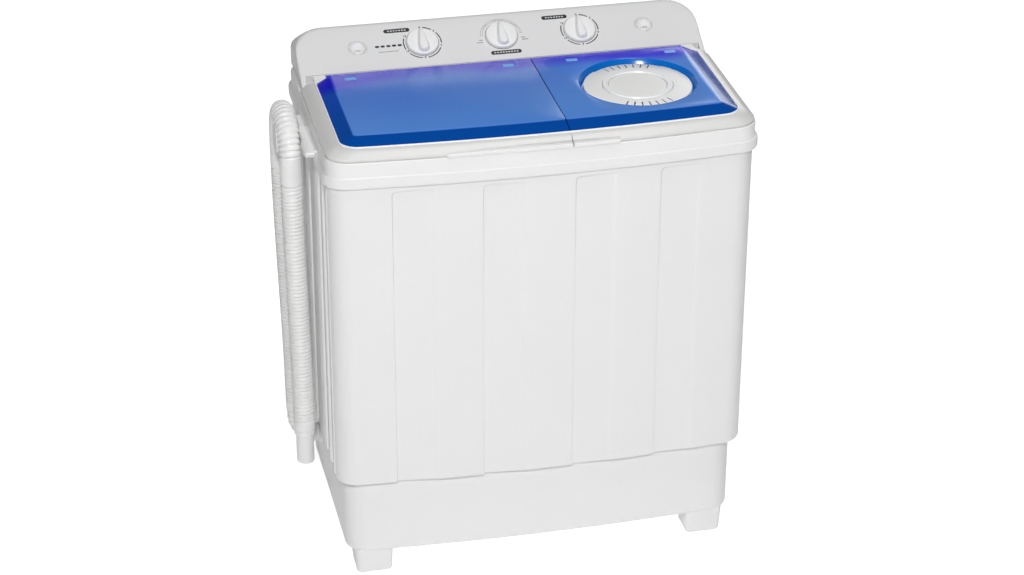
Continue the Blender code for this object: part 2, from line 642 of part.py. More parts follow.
def lint_filter():
    """A shallow lint box on the tub's back wall that lifts out."""
    y = WASH_TUB_Y[1] - TUB_WALL - 0.0105
    frame = box("lint_filter", (-0.120, y - 0.024, 0.470), (-0.030, y - 0.0005, 0.600))
    hollow = box("cut_mouth", (-0.116, y - 0.021, 0.474), (-0.034, y - 0.0035, 0.590))
    mouth = box("cut_front", (-0.112, y - 0.040, 0.520), (-0.038, y - 0.019, 0.586))
    slots = []
    for i in range(6):
        x = -0.110 + 0.012 * i
        slots.append(box("cut_slot", (x, y - 0.040, 0.480), (x + 0.006, y - 0.019, 0.514)))
    return boolean(frame, [hollow, mouth] + slots)


# ---------------------------------------------------------------- spin side
def spin_chamber():
    flange_z = DECK_TOP - DECK_THICKNESS - GAP
    r = CHAMBER_RADIUS
    inner = r - TUB_WALL
    chamber = turned("spin_chamber", [(0.030, TUB_FLOOR), (r, TUB_FLOOR), (r, flange_z - 0.003),
                                      (r + 0.007, flange_z - 0.003), (r + 0.007, flange_z), (inner, flange_z),
                                      (inner, TUB_FLOOR + TUB_WALL), (0.030, TUB_FLOOR + TUB_WALL)],
                     INNER, SPIN_CENTRE, 36, ring=True)
    return boolean(chamber, [cylinder("cut_drain", 0.010, 0.28, 0.32, centre=SPIN_DRAIN)])


def spin_drive():
    r = BASKET_RADIUS
    low, high = BASKET_BOTTOM, BASKET_TOP
    turned("spin_basket", [(0.0075, low), (r - 0.012, low), (r - 0.002, low + 0.012), (r, low + 0.030),
                           (r, high), (r - 0.003, high + 0.004), (r - 0.018, high + 0.002),
                           (r - 0.018, high - 0.001),
                           (r - 0.0045, high - 0.003), (r - 0.0025, low + 0.030), (r - 0.014, low + 0.006),
                           (0.024, low + 0.006), (0.018, low + 0.045), (0.0075, low + 0.045)],
           INNER, SPIN_CENTRE, 32, ring=True)
    cylinder("spin_shaft", 0.007, 0.196, low + 0.043, STEEL, SPIN_CENTRE)
    turned("brake_drum", [(0.010, 0.166), (0.045, 0.166), (0.045, 0.190), (0.016, 0.190), (0.016, 0.215),
                          (0.0075, 0.215), (0.0075, 0.1955), (0.010, 0.1955)],
           STEEL, SPIN_CENTRE, 20, ring=True)
    turned("spin_seal", [(0.0076, 0.286), (0.013, 0.286), (0.022, 0.290), (0.018, 0.294), (0.037, 0.2955),
                         (0.037, TUB_FLOOR - GAP), (0.0297, TUB_FLOOR - GAP), (0.0297, 0.306), (0.020, 0.310),
                         (0.012, 0.330), (0.0076, 0.330)], RUBBER, SPIN_CENTRE, 16, ring=True)
    motor = turned("spin_motor", [(0.040, 0.076), (0.058, 0.080), (0.058, 0.150), (0.046, 0.156),
                                  (0.0095, 0.156), (0.0095, 0.195)], MOTOR, SPIN_CENTRE, 20)
    ears = []
    for degrees in MOUNT_ANGLES:
        ear = box("ear", (0.050, -0.012, 0.112), (0.090, 0.012, 0.117))
        ears.append(moved(ear, about(SPIN_CENTRE, degrees)))
    centre = (about(SPIN_CENTRE, BRAKE_PIN_ANGLE) @ Vector((BRAKE_PIN_RADIUS, 0, 0))).xy
    pin = cylinder("pin", 0.0030, 0.148, 0.1885, centre=centre, steps=12)
    shoulder = cylinder("shoulder", 0.0045, 0.148, 0.1697, centre=centre, steps=12)
    join(motor, ears + [shoulder, pin])


def spin_mounts():
    """Three ribbed rubber mounts between the motor's ears and the base."""
    floor = FOOT_HEIGHT + 0.006 + GAP
    profile = [(0.012, floor), (0.012, floor + 0.006)]
    for k in range(3):
        profile += [(0.0095, floor + 0.012 + 0.014 * k), (0.0125, floor + 0.018 + 0.014 * k)]
    profile.append((0.011, 0.112 - GAP))
    for number, degrees in enumerate(MOUNT_ANGLES, 1):
        centre = about(SPIN_CENTRE, degrees) @ Vector((0.078, 0, 0))
        turned(f"spin_mount_{number}", profile, RUBBER, centre.xy, 12)


def basket_disc():
    """Loose perforated disc that keeps the washing down in the basket."""
    disc = turned("basket_disc", [(0.020, 0.640), (0.094, 0.640), (0.095, 0.642), (0.094, 0.645),
                                  (0.020, 0.645)], WHITE, SPIN_CENTRE, 24, ring=True)
    holes = []
    for i in range(6):
        hole = cylinder("cut_hole", 0.011, 0.60, 0.70, centre=(0.060, 0.0), steps=8)
        holes.append(moved(hole, about(SPIN_CENTRE, 8 + 60 * i)))
    return boolean(disc, holes)


def brake_lever():
    """A straight brake bar that turns towards the drum about a pin on the motor."""
    reach = 0.0492               # from the drum's axis to the middle of the bar
    along = math.sqrt(BRAKE_PIN_RADIUS ** 2 - reach ** 2)
    bar = box("brake_lever", (reach - 0.0030, along - 0.052, 0.170), (reach + 0.0030, along, 0.186), MOTOR)
    join(bar, [cylinder("hub", 0.0060, 0.170, 0.186, centre=(reach, along))])
    boolean(bar, [cylinder("cut_bore", 0.0034, 0.16, 0.20, centre=(reach, along), steps=12)])
    turn = BRAKE_PIN_ANGLE - math.degrees(math.atan2(along, reach))
    return moved(bar, about(SPIN_CENTRE, turn))


# ---------------------------------------------------------------- drain and electrics
def drain():
    cx, cy = VALVE_CENTRE
    valve = turned("drain_valve", [(0.0135, 0.200), (0.0135, TUB_FLOOR - 0.006), (0.020, TUB_FLOOR - 0.004),
                                   (0.020, TUB_FLOOR - GAP), (0.0115, TUB_FLOOR - GAP), (0.0115, 0.203)],
                   NYLON, (cx, cy), 20)
    chest = box("chest", (cx - 0.030, cy - 0.024, 0.110), (cx + 0.030, cy + 0.040, 0.206), NYLON)
    pipe = solid_tube("pipe", [(cx - 0.02, DRAIN_Y, DRAIN_Z), (-0.200, DRAIN_Y, DRAIN_Z),
                               (-BASE_HALF_WIDTH + WALL + 0.004, DRAIN_Y, DRAIN_Z)], 0.016, NYLON)
    join(valve, [chest, pipe])
    inside = cylinder("cut_inside", 0.0115, 0.150, 0.35, centre=VALVE_CENTRE, steps=20)
    outflow = solid_tube("cut_outflow", [(cx - 0.005, DRAIN_Y, DRAIN_Z), (-0.200, DRAIN_Y, DRAIN_Z),
                                         (-0.340, DRAIN_Y, DRAIN_Z)], 0.013, NYLON)
    throat = box("cut_throat", (cx - 0.012, cy - 0.005, 0.122), (cx + 0.012, cy + 0.030, 0.160), NYLON)
    boolean(valve, [inside, outflow, throat])
    turned("valve_plunger", [(0.0085, 0.163), (0.0105, 0.166), (0.0105, 0.176), (0.003, 0.180),
                             (0.003, 0.262)], RUBBER, VALVE_CENTRE, 20)
    duct = [(*SPIN_DRAIN, TUB_FLOOR - 0.0005), (*SPIN_DRAIN, 0.262), (0.0985, 0.0315, 0.246),
            (0.088, 0.038, 0.230), (0.070, 0.047, 0.218), (0.048, 0.059, 0.204), (0.030, 0.066, 0.193),
            (0.018, 0.068, 0.190), (0.0104, 0.068, 0.190)]
    return solid_tube("spin_drain_duct", duct, 0.009, HOSE)


def base_cuts():
    """The drain pipe's hole in the base."""
    hole = moved(cylinder("cut_drain", 0.0175, -0.03, 0.03, steps=20),
                 along_x(-BASE_HALF_WIDTH, DRAIN_Y, DRAIN_Z))
    return boolean(bpy.data.objects["base"], [hole])


def capacitor():
    box("capacitor", (0.080, 0.110, 0.070), (0.140, 0.150, 0.110), MOTOR)


# ---------------------------------------------------------------- drain hose
def arc_points(centre, radius, start, stop, steps, plane):
    """Points of an arc in degrees, in the plane XZ or YZ through centre."""
    points = []
    for i in range(steps + 1):
        a = math.radians(start + (stop - start) * i / steps)
        across, up = radius * math.cos(a), radius * math.sin(a)
        step = (across, 0, up) if plane == "XZ" else (0, across, up)
        points.append(tuple(c + d for c, d in zip(centre, step)))
    return points


def drain_outlet():
    """Moulded elbow from the base up to the hose."""
    centre = (HOSE_BACK_FOOT_X + ELBOW_RADIUS, HOSE_BACK_Y, DRAIN_Z + ELBOW_RADIUS)
    bend = arc_points(centre, ELBOW_RADIUS, 270, 180, 8, "XZ")
    start = (-BASE_HALF_WIDTH - GAP, HOSE_BACK_Y, DRAIN_Z)
    end = (HOSE_BACK_FOOT_X, HOSE_BACK_Y, HOSE_BACK_Z[0] - GAP)
    return solid_tube("drain_outlet", [start, *bend[1:], end], 0.0165, HOSE)


def hoses():
    foot, top = HOSE_BACK_Z
    back = hose_run((HOSE_BACK_FOOT_X, HOSE_BACK_Y, foot), (HOSE_X, HOSE_BACK_Y, top - GAP))
    tube("hose_back", back, HOSE_RADIUS, HOSE)
    foot, top = HOSE_FRONT_Z
    front = hose_run((HOSE_X, HOSE_FRONT_Y, top - GAP), (HOSE_FRONT_FOOT_X, HOSE_FRONT_Y, foot + GAP))
    tube("hose_front", front, HOSE_RADIUS, HOSE)
    arch_centre = (HOSE_X, (HOSE_BACK_Y + HOSE_FRONT_Y) / 2, ARCH_Z)
    arch_radius = (HOSE_BACK_Y - HOSE_FRONT_Y) / 2
    arch = arc_points(arch_centre, arch_radius, 0, 180, 14, "YZ")
    bend = [(HOSE_X, HOSE_BACK_Y, HOSE_BACK_Z[1])] + arch + [(HOSE_X, HOSE_FRONT_Y, HOSE_FRONT_Z[1])]
    solid_tube("hose_bend", bend, HOSE_RADIUS, HOSE)
    turned("hose_end", [(0.0127, HOSE_END_Z), (0.0148, HOSE_END_Z), (0.0148, 0.201), (0.0180, 0.2015),
                        (0.0185, foot), (0.0095, foot), (0.0095, 0.203), (0.0127, 0.199)],
           HOSE, (HOSE_FRONT_FOOT_X, HOSE_FRONT_Y), 16, ring=True)


def hose_run(start, stop):
    """Points of an upright run that leans in towards the cabinet and is plumb at both ends."""
    steps = 11
    points = []
    for i in range(steps + 1):
        t = i / steps
        lean = t * t * (3 - 2 * t)
        points.append((start[0] + (stop[0] - start[0]) * lean, start[1], start[2] + (stop[2] - start[2]) * t))
    return points


def hose_holder():
    """Wing on the rim's left side, with a saddle under the arch of the hose."""
    x_in = -FLANGE_HALF_WIDTH - GAP
    wing = loft("hose_holder", [[(x_in, -0.108 + f, z), (x_in, -0.004, z), (-0.3635, -0.004, z),
                                 (-0.3638, -0.052, z), (-0.3688, -0.066, z), (-0.3688, -0.102 + f, z),
                                 (-0.3650, -0.108 + f, z)]
                                for z, f in ((0.738, 0.012), (0.744, 0.003), (0.752, 0.0))], WHITE)
    rail = box("rail", (-0.3600, -0.010, 0.732), (x_in, 0.050, 0.748), WHITE)
    mid = (HOSE_BACK_Y + HOSE_FRONT_Y) / 2
    top = ARCH_Z + (HOSE_BACK_Y - HOSE_FRONT_Y) / 2 - HOSE_RADIUS - 0.0006
    saddle = loft("saddle", [[(x, mid + 0.024 * math.cos(math.radians(a)),
                               top - 0.024 + 0.024 * math.sin(math.radians(a))) for a in range(0, 360, 30)]
                             for x in (-0.399, -0.356)], WHITE)
    return join(wing, [rail, saddle])


# ---------------------------------------------------------------- assembly
def build():
    base()
    base_cuts()
    foot_pads()
    cabinet()
    rear_panel()
    cord_gland()
    top_frame()
    console()
    inlet("inlet_left", INLET_X[0])
    inlet("inlet_right", INLET_X[1])
    control("wash_timer", "wash_timer_body", KNOB_X[0], 0.020, 0.036)
    control("selector", "selector_switch", KNOB_X[1], 0.014, 0.026)
    control("spin_timer", "spin_timer_body", KNOB_X[2], 0.020, 0.036)
    lid_frame("wash_lid_frame", -LID_HALF_WIDTH, LID_SPLIT - 0.0008)
    lid_frame("spin_lid_frame", LID_SPLIT + 0.0008, LID_HALF_WIDTH)
    lid_window("wash_lid_window", -WINDOW_HALF_WIDTH + GAP, LID_SPLIT - 0.0008, HINGE_X[:2])
    spin_window = lid_window("spin_lid_window", LID_SPLIT + 0.0008, WINDOW_HALF_WIDTH - GAP, HINGE_X[2:])
    boolean(spin_window, [cylinder("cut_vent", VENT_RADIUS + 0.0006, 0.77, 0.81, BLUE, VENT_CENTRE, 32)])
    for number, x in enumerate(HINGE_X, 1):
        lid_hinge(f"lid_hinge_{number}", x)
    spin_vent_cap()
    wash_tub()
    pulsator()
    wash_drive()
    lint_filter()
    spin_chamber()
    spin_drive()
    spin_mounts()
    basket_disc()
    brake_lever()
    drain()
    capacitor()
    drain_outlet()
    hoses()
    hose_holder()


build()
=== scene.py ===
"""Looks of the twin tub washer: fine casing, lids, dials, drain hose and materials round the CAD frame.

Everything is in metres in the CAD's own frame: +Z up, +X to the machine's right, -Y to its front.
"""

import math

import bmesh
import bpy
from mathutils import Matrix, Quaternion, Vector


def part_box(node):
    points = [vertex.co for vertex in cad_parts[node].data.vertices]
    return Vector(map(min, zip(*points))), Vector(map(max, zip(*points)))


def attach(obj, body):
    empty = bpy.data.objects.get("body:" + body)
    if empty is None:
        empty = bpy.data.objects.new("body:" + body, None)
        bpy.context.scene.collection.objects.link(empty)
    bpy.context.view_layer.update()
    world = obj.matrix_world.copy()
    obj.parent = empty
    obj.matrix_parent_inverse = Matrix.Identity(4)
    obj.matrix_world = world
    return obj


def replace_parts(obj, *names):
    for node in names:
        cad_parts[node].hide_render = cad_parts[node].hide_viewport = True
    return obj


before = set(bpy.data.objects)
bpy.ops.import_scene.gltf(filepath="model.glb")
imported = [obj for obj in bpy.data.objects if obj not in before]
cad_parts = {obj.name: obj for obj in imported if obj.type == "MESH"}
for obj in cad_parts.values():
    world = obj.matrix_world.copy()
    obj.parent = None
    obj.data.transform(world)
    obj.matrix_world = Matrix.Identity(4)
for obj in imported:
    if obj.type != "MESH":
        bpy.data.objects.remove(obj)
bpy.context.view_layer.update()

# ---------------------------------------------------------------- sizes, most of them read from the frame
GAP = 0.0003
WALL = 0.003
CORNER = 0.034               # plan radius of the casing's corners
BOW = 0.0165                 # the front falls back by this from its middle to its corners

CABINET_LOW, CABINET_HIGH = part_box("cabinet")
RIM_LOW, RIM_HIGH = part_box("top_frame")
BASE_LOW, BASE_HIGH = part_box("base")
LID_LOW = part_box("wash_lid_frame")[0]
CABINET_HALF = CABINET_HIGH.x
HALF_DEPTH = RIM_HIGH.y
RIM_HALF = RIM_HIGH.x - 0.0045
DECK_TOP = RIM_HIGH.z
RIM_BAND_TOP = DECK_TOP - 0.0245

PLEAT_STEPS = (-0.248, -0.104, 0.0445, 0.1845)
PLEAT_WIDTH = 0.067
PLEAT_DEPTH = 0.005
PLEAT_END_DEPTH = 0.0014
PLEAT_TOP = 0.716
PLEAT_CORNER = 0.008
SIDE_GROOVES = ((-0.192, -0.166), (-0.150, -0.123), (-0.101, -0.078), (0.013, 0.031),
                (0.061, 0.085), (0.109, 0.133))
SIDE_GROOVE_DEPTH = 0.0038

CONSOLE_TILT = math.radians(29.5)
CONSOLE_HALF = 0.342
CONSOLE_FRONT = 0.0816       # where the panel's plane meets the deck
CONSOLE_RUN = 0.134
CONSOLE_CORNER = 0.050
CONSOLE_BACK = 0.2125
NOTCH_BACK = 0.1118
CONTROL_S = 0.083
INLET_RADIUS = 0.0155
KNOB_RADIUS = 0.027

LID_HALF = -LID_LOW.x
LID_FRONT = LID_LOW.y
LID_BOTTOM = LID_LOW.z
LID_EDGE_Z = 0.776
SPLIT = 0.038
SPLIT_GAP = 0.0008
WINDOW_HALF = 0.3208
WINDOW_FRONT = -0.191
WINDOW_BACK = 0.107          # of the flat strip over the hinges
FIELD_BACK = 0.0875
APRON_BACK = 0.0870
WINDOW_Z = 0.788
WINDOW_SHEET = 0.0025
WINDOW_CORNER = 0.028
BACK_CORNER = 0.020
FIELD_Z = 0.796
FIELD_HALF = 0.296
FIELD_FRONT = -0.1585
GRIP_X = (-0.162, 0.115)
GRIP_MID = (GRIP_X[0] + GRIP_X[1]) / 2
GRIP_LENGTH = GRIP_X[1] - GRIP_X[0]
HINGE_X = (-0.266, -0.004, 0.103, 0.271)

VENT = (0.1865, -0.043)
VENT_RECESS = 0.0965
VENT_RADIUS = 0.0885
VENT_Z = 0.7905
VENT_RING = (0.0476, 0.0576)

HOSE_RADIUS = 0.018
HOSE_X = -0.382
HOSE_BACK_FOOT_X = -0.3735
HOSE_FRONT_FOOT_X = -0.376
HOSE_BACK_Y = 0.082
HOSE_FRONT_Y = -0.034
HOSE_BACK_Z = (0.1985, 0.675)
HOSE_FRONT_Z = (0.2255, 0.669)
ARCH_Z = 0.706
HOSE_END_Z = 0.148
DRAIN_Z = 0.130
ELBOW_RADIUS = 0.040
HOLDER_TIP_X = -0.3690


# ---------------------------------------------------------------- materials
def ramp(x, low, high):
    """Smooth step from 0 at low to 1 at high."""
    t = min(max((x - low) / (high - low), 0.0), 1.0)
    return t * t * (3 - 2 * t)


class Nodes:
    """A small builder for one material's node tree, in object coordinates."""

    def __init__(self, name):
        self.material = bpy.data.materials.new(name)
        self.material.use_nodes = True
        self.tree = self.material.node_tree
        self.shader = self.tree.nodes["Principled BSDF"]
        self.place = self.tree.nodes.new("ShaderNodeTexCoord").outputs["Object"]

    def new(self, kind, **inputs):
        node = self.tree.nodes.new(kind)
        for name, value in inputs.items():
            socket = node.inputs[name.replace("_", " ")]
            if isinstance(value, bpy.types.NodeSocket):
                self.tree.links.new(value, socket)
            else:
                socket.default_value = value
        return node

    def noise(self, scale, detail=2.0, stretch=(1, 1, 1), rough=0.5):
        mapping = self.new("ShaderNodeMapping", Vector=self.place, Scale=stretch)
        return self.new("ShaderNodeTexNoise", Vector=mapping.outputs["Vector"], Scale=scale, Detail=detail,
                        Roughness=rough).outputs["Fac"]

    def remap(self, value, low, high, start=0.3, stop=0.7):
        node = self.new("ShaderNodeMapRange", Value=value)
        for index, number in ((1, start), (2, stop), (3, low), (4, high)):
            node.inputs[index].default_value = number
        return node.outputs["Result"]

    def mix(self, factor, first, second):
        node = self.tree.nodes.new("ShaderNodeMix")
        node.data_type = "RGBA"
        for index, value in ((0, factor), (6, first), (7, second)):
            socket = node.inputs[index]
            if isinstance(value, bpy.types.NodeSocket):
                self.tree.links.new(value, socket)
            elif index:
                socket.default_value = (*value, 1.0)
            else:
                socket.default_value = value
        return node.outputs[2]

    def link(self, output, name):
        self.tree.links.new(output, self.shader.inputs[name])

    def set(self, **values):
        for name, value in values.items():
            self.shader.inputs[name.replace("_", " ")].default_value = value

    def bump(self, height, distance, strength=1.0, under=None):
        node = self.new("ShaderNodeBump", Height=height, Strength=strength, Distance=distance)
        if under is not None:
            self.tree.links.new(under, node.inputs["Normal"])
        return node.outputs["Normal"]


def plastic(name, colour, roughness, grain=420.0, depth=0.000007, spread=0.012, coat=0.0, shine=0.5):
    """Moulded plastic: faint cloudiness in its colour, uneven gloss, and a fine orange peel."""
    n = Nodes(name)
    cloud = n.noise(7.0, 3.0)
    dark = tuple(c * (1 - spread) for c in colour)
    n.link(n.mix(n.remap(cloud, 0.0, 1.0), dark, colour), "Base Color")
    n.link(n.remap(n.noise(26.0, 3.0), roughness - 0.012, roughness + 0.018), "Roughness")
    n.link(n.bump(n.noise(grain, 2.0), depth), "Normal")
    n.set(IOR=1.46, Specular_IOR_Level=shine, Coat_Weight=coat, Coat_Roughness=0.12)
    return n.material


def rubber(name):
    n = Nodes(name)
    dust = n.noise(40.0, 4.0)
    n.link(n.mix(n.remap(dust, 0.0, 1.0), (0.018, 0.018, 0.019), (0.05, 0.05, 0.052)), "Base Color")
    n.link(n.remap(n.noise(90.0), 0.68, 0.88), "Roughness")
    n.link(n.bump(n.noise(1400.0, 3.0), 0.00006), "Normal")
    return n.material


def metal(name, colour, roughness, metallic=1.0, stretch=(1, 1, 30)):
    n = Nodes(name)
    streak = n.noise(60.0, 3.0, stretch)
    n.link(n.mix(n.remap(streak, 0.0, 1.0), tuple(c * 0.82 for c in colour), colour), "Base Color")
    n.link(n.remap(streak, roughness - 0.08, roughness + 0.10), "Roughness")
    n.link(n.bump(streak, 0.00003), "Normal")
    n.set(Metallic=metallic)
    return n.material


def window_material():
    """Clear blue plastic, violet towards the back: painted shade makes it deep on its sloped edges, and a
    painted haze of reflection makes it paler on the raised field.
    """
    n = Nodes("window_blue")
    split = n.new("ShaderNodeSeparateXYZ", Vector=n.place)
    cloud = n.noise(5.0, 2.0, (1, 0.6, 1))
    shift = n.tree.nodes.new("ShaderNodeMath")
    shift.operation = "ADD"
    n.tree.links.new(split.outputs["Y"], shift.inputs[0])
    n.tree.links.new(n.remap(cloud, -0.026, 0.026), shift.inputs[1])
    back = n.remap(shift.outputs[0], 0.0, 1.0, 0.030, 0.064)
    middle = n.remap(shift.outputs[0], 0.0, 1.0, -0.120, 0.010)
    # The field's paler, hazier blue is a painted reflection.
    field = n.mix(middle, (0.085, 0.270, 0.800), (0.075, 0.235, 0.840))
    field = n.mix(n.remap(n.noise(3.2, 1.0), 0.0, 0.6), field, (0.160, 0.360, 0.860))
    field = n.mix(back, field, (0.075, 0.070, 0.860))
    # Painted shade: the deep blue of the sloped edges.
    edge = n.mix(middle, (0.000, 0.072, 0.390), (0.000, 0.070, 0.500))
    edge = n.mix(back, edge, (0.000, 0.000, 0.620))
    # The mask by height puts the painted shade on the slopes and the painted reflection on the field.
    height = n.remap(split.outputs["Z"], 0.0, 1.0, FIELD_Z - 0.0012, FIELD_Z - 0.0004)
    n.link(n.mix(height, edge, field), "Base Color")
    n.link(n.remap(n.noise(30.0, 2.0), 0.15, 0.19), "Roughness")
    n.link(n.bump(n.noise(150.0, 2.0), 0.00002), "Normal")
    n.set(IOR=1.45, Specular_IOR_Level=0.25, Transmission_Weight=0.12, Coat_Weight=0.15, Coat_Roughness=0.06)
    return n.material


def hose_material():
    n = Nodes("hose_white")
    cloud = n.noise(14.0, 3.0)
    n.link(n.mix(n.remap(cloud, 0.0, 1.0), (0.78, 0.78, 0.775), (0.82, 0.82, 0.815)), "Base Color")
    n.link(n.remap(n.noise(60.0, 3.0), 0.30, 0.44), "Roughness")
    n.link(n.bump(n.noise(700.0, 2.0), 0.00003), "Normal")
    n.set(Subsurface_Weight=0.05, Subsurface_Radius=(0.004, 0.004, 0.004), Subsurface_Scale=1.0)
    return n.material


WHITE = plastic("casing_white", (0.80, 0.80, 0.80), 0.34, shine=0.3)
LID_WHITE = plastic("lid_white", (0.69, 0.685, 0.68), 0.30, grain=360.0, shine=0.4)
PANEL_WHITE = plastic("console_white", (0.74, 0.74, 0.74), 0.40, grain=600.0, depth=0.000008, shine=0.3)
DISC_WHITE = plastic("disc_white", (0.87, 0.87, 0.86), 0.34, grain=380.0, shine=0.3)
# A brighter white whose extra brightness is a painted highlight: on the lids' lips, the filling at the window
# corners and the vent ring.
HIGHLIGHT_WHITE = plastic("painted_highlight_white", (0.94, 0.95, 0.96), 0.22)
KNOB_WHITE = plastic("knob_white", (0.86, 0.86, 0.86), 0.26, coat=0.3)
TUB_WHITE = plastic("tub_plastic", (0.78, 0.81, 0.84), 0.24)
NYLON = plastic("nylon_grey", (0.52, 0.53, 0.55), 0.46, grain=900.0)
TAB = plastic("hinge_tab", (0.20, 0.50, 0.95), 0.26)
BLUE = window_material()
RECESS_BLUE = plastic("recess_blue", (0.000, 0.150, 0.560), 0.20, spread=0.05, coat=0.3)
HOSE = hose_material()
RUBBER = rubber("rubber_black")
STEEL = metal("steel_plated", (0.62, 0.62, 0.64), 0.28)
MOTOR = metal("motor_paint", (0.26, 0.27, 0.29), 0.46, 0.6, (1, 1, 1))
# Ink for the print. The dark ink also makes the painted shade under the vent slots, and the grey ink paints
# the shade in the nozzle slits and the thin lines at the foot of the knobs and of the vent ring.
DARK_INK_AND_SHADE = plastic("dark_ink_and_painted_shade", (0.030, 0.030, 0.033), 0.42, spread=0.25)
GREY_INK_AND_SHADE = plastic("grey_ink_and_painted_shade", (0.30, 0.30, 0.31), 0.42, spread=0.12)
INK_PALE = plastic("ink_pale", (0.72, 0.72, 0.72), 0.42, spread=0.05)
SLOT_OF = {TUB_WHITE: "inner_plastic", NYLON: "grey_nylon", BLUE: "blue_window", RECESS_BLUE: "blue_window",
           HOSE: "hose_plastic", RUBBER: "black_rubber", STEEL: "plated_steel", MOTOR: "motor_steel",
           **dict.fromkeys((WHITE, DISC_WHITE, LID_WHITE, PANEL_WHITE, HIGHLIGHT_WHITE, KNOB_WHITE),
                           "white_plastic")}


# ---------------------------------------------------------------- mesh tools
def cosd(degrees):
    return math.cos(math.radians(degrees))


def sind(degrees):
    return math.sin(math.radians(degrees))


def middle(node):
    """Centre of a CAD node's box."""
    low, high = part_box(node)
    return [(a + b) / 2 for a, b in zip(low, high)]


def put(name, data):
    """A new object in the scene."""
    obj = bpy.data.objects.new(name, data)
    bpy.context.scene.collection.objects.link(obj)
    return obj


def smooth(mesh, sharp):
    """Smooth shading, with hard edges from the given angle up."""
    mesh.shade_smooth()
    mesh.set_sharp_from_angle(angle=math.radians(sharp))


def baked(obj):
    """The object's mesh with its modifiers applied."""
    bpy.context.view_layer.update()
    return bpy.data.meshes.new_from_object(obj.evaluated_get(bpy.context.evaluated_depsgraph_get()))


def apply(obj):
    mesh = baked(obj)
    obj.modifiers.clear()
    obj.data = mesh


def add(name, bm, material, body, sharp=32):
    """Turn a bmesh into a named piece that rides on a body."""
    bmesh.ops.recalc_face_normals(bm, faces=bm.faces)
    mesh = bpy.data.meshes.new(name)
    bm.to_mesh(mesh)
    bm.free()
    smooth(mesh, sharp)
    mesh.materials.append(material)
    obj = put(name, mesh)
    if body:
        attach(obj, body)
    return obj


def skin(bm, loops, ring=False):
    """Join equal closed loops in turn with quads."""
    rows = [[bm.verts.new(p) for p in loop] for loop in loops]
    pairs = list(zip(rows, rows[1:]))
    if ring:
        pairs.append((rows[-1], rows[0]))
    for low, high in pairs:
        for i in range(len(low)):
            j = (i + 1) % len(low)
            bm.faces.new((low[i], low[j], high[j], high[i]))
    if not ring:
        bm.faces.new(rows[0])
        bm.faces.new(rows[-1])


def loft(name, loops, material, body, ring=False, sharp=32):
    bm = bmesh.new()
    skin(bm, loops, ring)
    return add(name, bm, material, body, sharp)


def circle(radius, z, steps=64):
    return [(radius * math.cos(math.tau * i / steps), radius * math.sin(math.tau * i / steps), z)
            for i in range(steps)]


def turned(name, profile, material, body, place=Matrix(), steps=64, ring=False, sharp=32):
    """Turn a profile of (radius, z) about Z and put it in place."""
    loops = [[tuple(place @ Vector(p)) for p in circle(r, z, steps)] for r, z in profile]
    return loft(name, loops, material, body, ring, sharp)


def bowed(x, y):
    return y + BOW * (x / CABINET_HALF) ** 2 * max(-y, 0.0) / HALF_DEPTH


def rounded(x0, x1, y0, y1, radius, z, steps=12, bow=True, front_steps=28, side_steps=6):
    """A rounded rectangle in plan whose front edge bows."""
    corners = ((x0 + radius, y0 + radius, 180), (x1 - radius, y0 + radius, 270),
               (x1 - radius, y1 - radius, 0), (x0 + radius, y1 - radius, 90))
    points = []
    for number, (cx, cy, start) in enumerate(corners):
        for i in range(steps + 1):
            angle = start + 90 * i / steps
            points.append((cx + radius * cosd(angle), cy + radius * sind(angle)))
        count = front_steps if number == 0 else side_steps
        nx, ny, after = corners[(number + 1) % 4]
        end = (nx + radius * cosd(after), ny + radius * sind(after))
        start_point = points[-1]
        for i in range(1, count):
            t = i / count
            points.append((start_point[0] + (end[0] - start_point[0]) * t,
                           start_point[1] + (end[1] - start_point[1]) * t))
    return [(x, bowed(x, y) if bow else y, z) for x, y in points]


def sweep(name, path, radius_at, material, body, sides=28, spacing=0.0012):
    """A round skin along a path, with its radius given by the distance along it."""
    dense, total = resample(path, spacing)
    bm = bmesh.new()
    loops = []
    heading = Vector((0, 0, 1))
    turn = Quaternion()
    for i, (point, along) in enumerate(dense):
        before = dense[max(i - 1, 0)][0]
        after = dense[min(i + 1, len(dense) - 1)][0]
        direction = (after - before).normalized()
        turn = heading.rotation_difference(direction) @ turn
        heading = direction
        radius = radius_at(along, total)
        loops.append([tuple(point + turn @ Vector(p)) for p in circle(radius, 0.0, sides)])
    skin(bm, loops)
    return add(name, bm, material, body, 60)


def resample(path, spacing):
    """Points of a path at even spacing, each with its distance along it."""
    points = [Vector(p) for p in path]
    lengths = [0.0]
    for a, b in zip(points, points[1:]):
        lengths.append(lengths[-1] + (b - a).length)
    total = lengths[-1]
    count = max(int(total / spacing), 2)
    dense = []
    k = 0
    for i in range(count + 1):
        along = total * i / count
        while k < len(lengths) - 2 and lengths[k + 1] < along:
            k += 1
        t = (along - lengths[k]) / max(lengths[k + 1] - lengths[k], 1e-9)
        dense.append((points[k].lerp(points[k + 1], t), along))
    return dense, total


def boolean(obj, cutters, sharp=None, operation="DIFFERENCE"):
    """Cut the cutters out of obj, or join them to it, and remove them. With sharp, shade obj again."""
    for tool in cutters:
        mod = obj.modifiers.new("cut", "BOOLEAN")
        mod.operation = operation
        mod.solver = "EXACT"
        mod.object = tool
    apply(obj)
    for tool in cutters:
        bpy.data.objects.remove(tool, do_unlink=True)
    if sharp:
        smooth(obj.data, sharp)


def bevel(obj, width, segments=2, angle=30):
    mod = obj.modifiers.new("soft_edges", "BEVEL")
    mod.width = width
    mod.segments = segments
    mod.limit_method = "ANGLE"
    mod.angle_limit = math.radians(angle)


def box(name, low, high, material, body):
    (x0, y0, z0), (x1, y1, z1) = low, high
    loops = [[(x0, y0, z), (x1, y0, z), (x1, y1, z), (x0, y1, z)] for z in (z0, z1)]
    return loft(name, loops, material, body)


